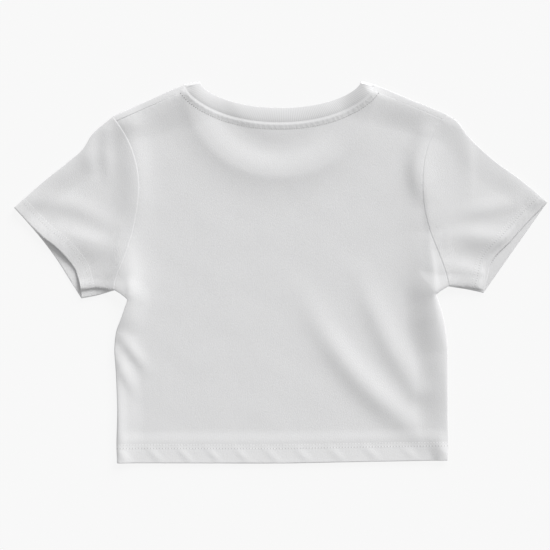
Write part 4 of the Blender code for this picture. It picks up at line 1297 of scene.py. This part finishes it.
def weighed(patterns, rises):
    """The sum of some patterns, each times its own rise."""
    first, *others = (pattern * rise for pattern, rise in zip(patterns, rises))
    return sum(others, first)


def set_inputs(shader, values):
    """Sets inputs of a shader to plain values."""
    for name, value in values.items():
        shader.inputs[name].default_value = value


def finish(name, colours, roughness, pattern):
    """A cloth finish: two colours just short of full whiteness mixed by its pattern's share, darkened by
    painted shade in its needle pits, and bumped by its height. A pattern gives that height, its depth
    in metres, the share and the share of painted pit shade."""
    made = bpy.data.materials.new(name)
    made.use_nodes = True
    tree = made.node_tree
    shader = tree.nodes["Principled BSDF"]
    uv = node(tree, "ShaderNodeUVMap", {"uv_map": "cloth"}, {})
    place = node(tree, "ShaderNodeTexCoord", {}, {}, output=3)
    height, depth, share, pit_shade = pattern(tree, uv, place)
    plain, other = ((*colour, 1.0) for colour in colours)
    # Painted shade darkens the needle pits.
    pit_shaded = mixed(tree, pit_shade, mixed(tree, share, plain, other), PIT_SHADE_COLOUR)
    connect(tree, shader.inputs["Base Color"], pit_shaded)
    set_inputs(shader, {
        "Roughness": roughness, "Specular IOR Level": 0.2, "Sheen Weight": 0.12, "Sheen Roughness": 0.5,
    })
    bumped = node(tree, "ShaderNodeBump", {}, {"Height": height, "Distance": depth, "Strength": 1.0})
    connect(tree, shader.inputs["Normal"], bumped)
    return made


def painted_pit_shade(off, run, pitch, size):
    """Share of painted shade in round pits one stitch apart along a row that `off` is measured from,
    fullest in the middle.
    """
    phase = ((run * (1.0 / pitch)).math("FRACT") - 0.5) * pitch
    return (off * off + phase * phase).within(size ** 2, 0.0)


def jersey(tree, uv, place):
    """Jersey: rows of small V stitches, and fuzz.

    Wales are the height of a sine across the cloth whichever way it goes, and courses are a sine up
    it that leans with that one. It is whiter in its turned-up hems, partly as the doubled cloth's own
    colour and partly as painted light. Painted shade darkens the needle's pits along both rows of their
    stitches and below the neck seam, where beads of the rolled allowance show.
    """
    across, up = split(tree, uv)
    sway = (across * (np.pi / (WALE * MM))).sine()
    course = (up * (2 * np.pi / (COURSE * MM)) + sway * COURSE_LEAN).sine()
    drawn = node(tree, "ShaderNodeMapping", {}, {"Vector": place, "Scale": FUZZ_STRETCH})
    fuzz = noise(tree, drawn, JERSEY_FUZZ, 1.0)
    mottle = noise(tree, place, JERSEY_MOTTLE, 4.0)
    hem, neck, run = (attribute(tree, mark) for mark in ("hem", "neck", "along"))
    # The whiter hem is partly the doubled cloth's own colour and partly painted light, most on the left
    # cuff.
    share = hem.within(*HEM_FADE) * attribute(tree, "white") + (mottle - 0.5) * MOTTLE_SHARE
    stitch_run = across * (1.0 / MM)
    # Painted shade in the pits of the hem's two rows and below the neck.
    outer_pit_shade = painted_pit_shade(hem + (HEM_ROWS[1] - HEM_ROWS[0]), stitch_run, HEM_PITCH, HEM_PIT_SHADE_RADIUS)
    inner_pit_shade = painted_pit_shade(hem, stitch_run, HEM_PITCH, HEM_PIT_SHADE_RADIUS)
    neck_pit_shade = painted_pit_shade(neck, run, NECK_PITCH, NECK_PIT_SHADE_RADIUS)
    drift = noise(tree, place, BEAD_NOISE) * BEAD_DRIFT
    beads = (run * (2 * np.pi / BEAD_PITCH) + drift).sine()
    beads = beads * neck.within(*BEADS_HIGH) * neck.within(*BEADS_LOW)
    height = weighed((sway.absolute(), course, fuzz, beads), JERSEY_RISES)
    return height, KNIT_DEPTH, share, weighed((outer_pit_shade, inner_pit_shade, neck_pit_shade), PIT_SHADE_SHARES)


def rib(tree, uv, place):
    """Rib knit: rounded ribs across the band, each half a sine, of small stitches, and fuzz."""
    along_band, across = split(tree, uv)
    ribs = (along_band * (np.pi / (RIB_PITCH * MM))).sine().absolute()
    course = (across * (2 * np.pi / (RIB_COURSE * MM))).sine()
    fuzz = noise(tree, place, RIB_FUZZ, 3.0)
    mottle = noise(tree, place, RIB_MOTTLE, 3.0)
    return weighed((ribs, course, fuzz), RIB_RISES), KNIT_DEPTH, mottle, 0.0


def thread(tree, uv, place):
    """Sewing thread: a fine twist round it, which is a sine along it turned once a round."""
    around, along_thread = split(tree, uv)
    twist = (along_thread * (2 * np.pi / (TWIST * MM)) + around * (1.0 / MM)).sine()
    fuzz = noise(tree, place, THREAD_FUZZ)
    return weighed((twist, fuzz), THREAD_RISES), THREAD_DEPTH, fuzz, 0.0


def lay_floor():
    """A plain pale floor, a little below the cloth."""
    mesh = bpy.data.meshes.new("floor")
    ways = ((-1, -1), (1, -1), (1, 1), (-1, 1))
    corners = [(x * FLOOR_HALF, y * FLOOR_HALF, FLOOR_HEIGHT) for x, y in ways]
    mesh.from_pydata(corners, [], [(0, 1, 2, 3)])
    paper = bpy.data.materials.new("pale_floor")
    paper.use_nodes = True
    set_inputs(paper.node_tree.nodes["Principled BSDF"], {
        "Base Color": (FLOOR_COLOUR, FLOOR_COLOUR, FLOOR_COLOUR, 1.0), "Roughness": 0.9,
        "Specular IOR Level": 0.0, "Emission Color": WHITE, "Emission Strength": FLOOR_GLOW,
    })
    mesh.materials.append(paper)
    floor = bpy.data.objects.new("floor", mesh)
    bpy.context.scene.collection.objects.link(floor)


def set_lights():
    """A wide soft light from the upper right, and even light all round."""
    world = bpy.data.worlds.new("even_light")
    world.use_nodes = True
    set_inputs(world.node_tree.nodes["Background"], {"Color": WHITE, "Strength": WORLD_LIGHT})
    bpy.context.scene.world = world
    light = bpy.data.lights.new("key", "SUN")
    light.energy, light.angle = KEY_POWER, np.radians(KEY_SPREAD)
    key = bpy.data.objects.new("key", light)
    key.rotation_euler = Vector(KEY_PLACE).to_track_quat("Z", "Y").to_euler()
    bpy.context.scene.collection.objects.link(key)
    view = bpy.context.scene.view_settings
    view.view_transform = "Standard"
    view.look = "None"


def set_camera():
    """Straight above the garment, far enough back that its width nearly fills the frame."""
    made = bpy.data.cameras.new("camera")
    made.lens = 100.0
    made.sensor_width = 36.0
    made.clip_end = 50.0
    viewer = bpy.data.objects.new("camera", made)
    viewer.location = (VIEW_X, VIEW_Y, FRAME_WIDTH * made.lens / made.sensor_width + FRAME_ABOVE_FLOOR)
    bpy.context.scene.collection.objects.link(viewer)
    bpy.context.scene.camera = viewer


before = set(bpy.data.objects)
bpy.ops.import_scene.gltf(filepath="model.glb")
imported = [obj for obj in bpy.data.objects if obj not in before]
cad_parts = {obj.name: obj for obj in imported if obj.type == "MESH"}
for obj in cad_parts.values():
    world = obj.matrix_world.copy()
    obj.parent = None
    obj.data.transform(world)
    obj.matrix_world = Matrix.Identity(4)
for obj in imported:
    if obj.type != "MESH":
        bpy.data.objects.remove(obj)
CAD_LOW, CAD_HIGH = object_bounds()
PLAN_TO_FRAME = np.array([0.5 * (CAD_LOW.x + CAD_HIGH.x) / MM, CAD_LOW.y / MM, 0.0])
JERSEY = finish("white_jersey", JERSEY_COLOURS, KNIT_ROUGHNESS, jersey)
RIB = finish("white_rib", RIB_COLOURS, KNIT_ROUGHNESS, rib)
THREAD_FINISH = finish("sewing_thread", THREAD_COLOURS, THREAD_ROUGHNESS, thread)
back = build_back()
front = build_front()
left_sleeve = build_sleeve(LEFT, "left_sleeve_jersey", "left_sleeve")
right_sleeve = build_sleeve(RIGHT, "right_sleeve_jersey", "right_sleeve")
band = build_neckband()
hem_thread = stitched("hem_stitches", hem_paths(), HEM_PITCH)
neck_thread = stitched("neck_stitches", neck_path(), NECK_PITCH)
left_thread = stitched("left_cuff_stitches", cuff_paths(LEFT), HEM_PITCH)
right_thread = stitched("right_cuff_stitches", cuff_paths(RIGHT), HEM_PITCH)
lay_floor()
set_lights()
set_camera()
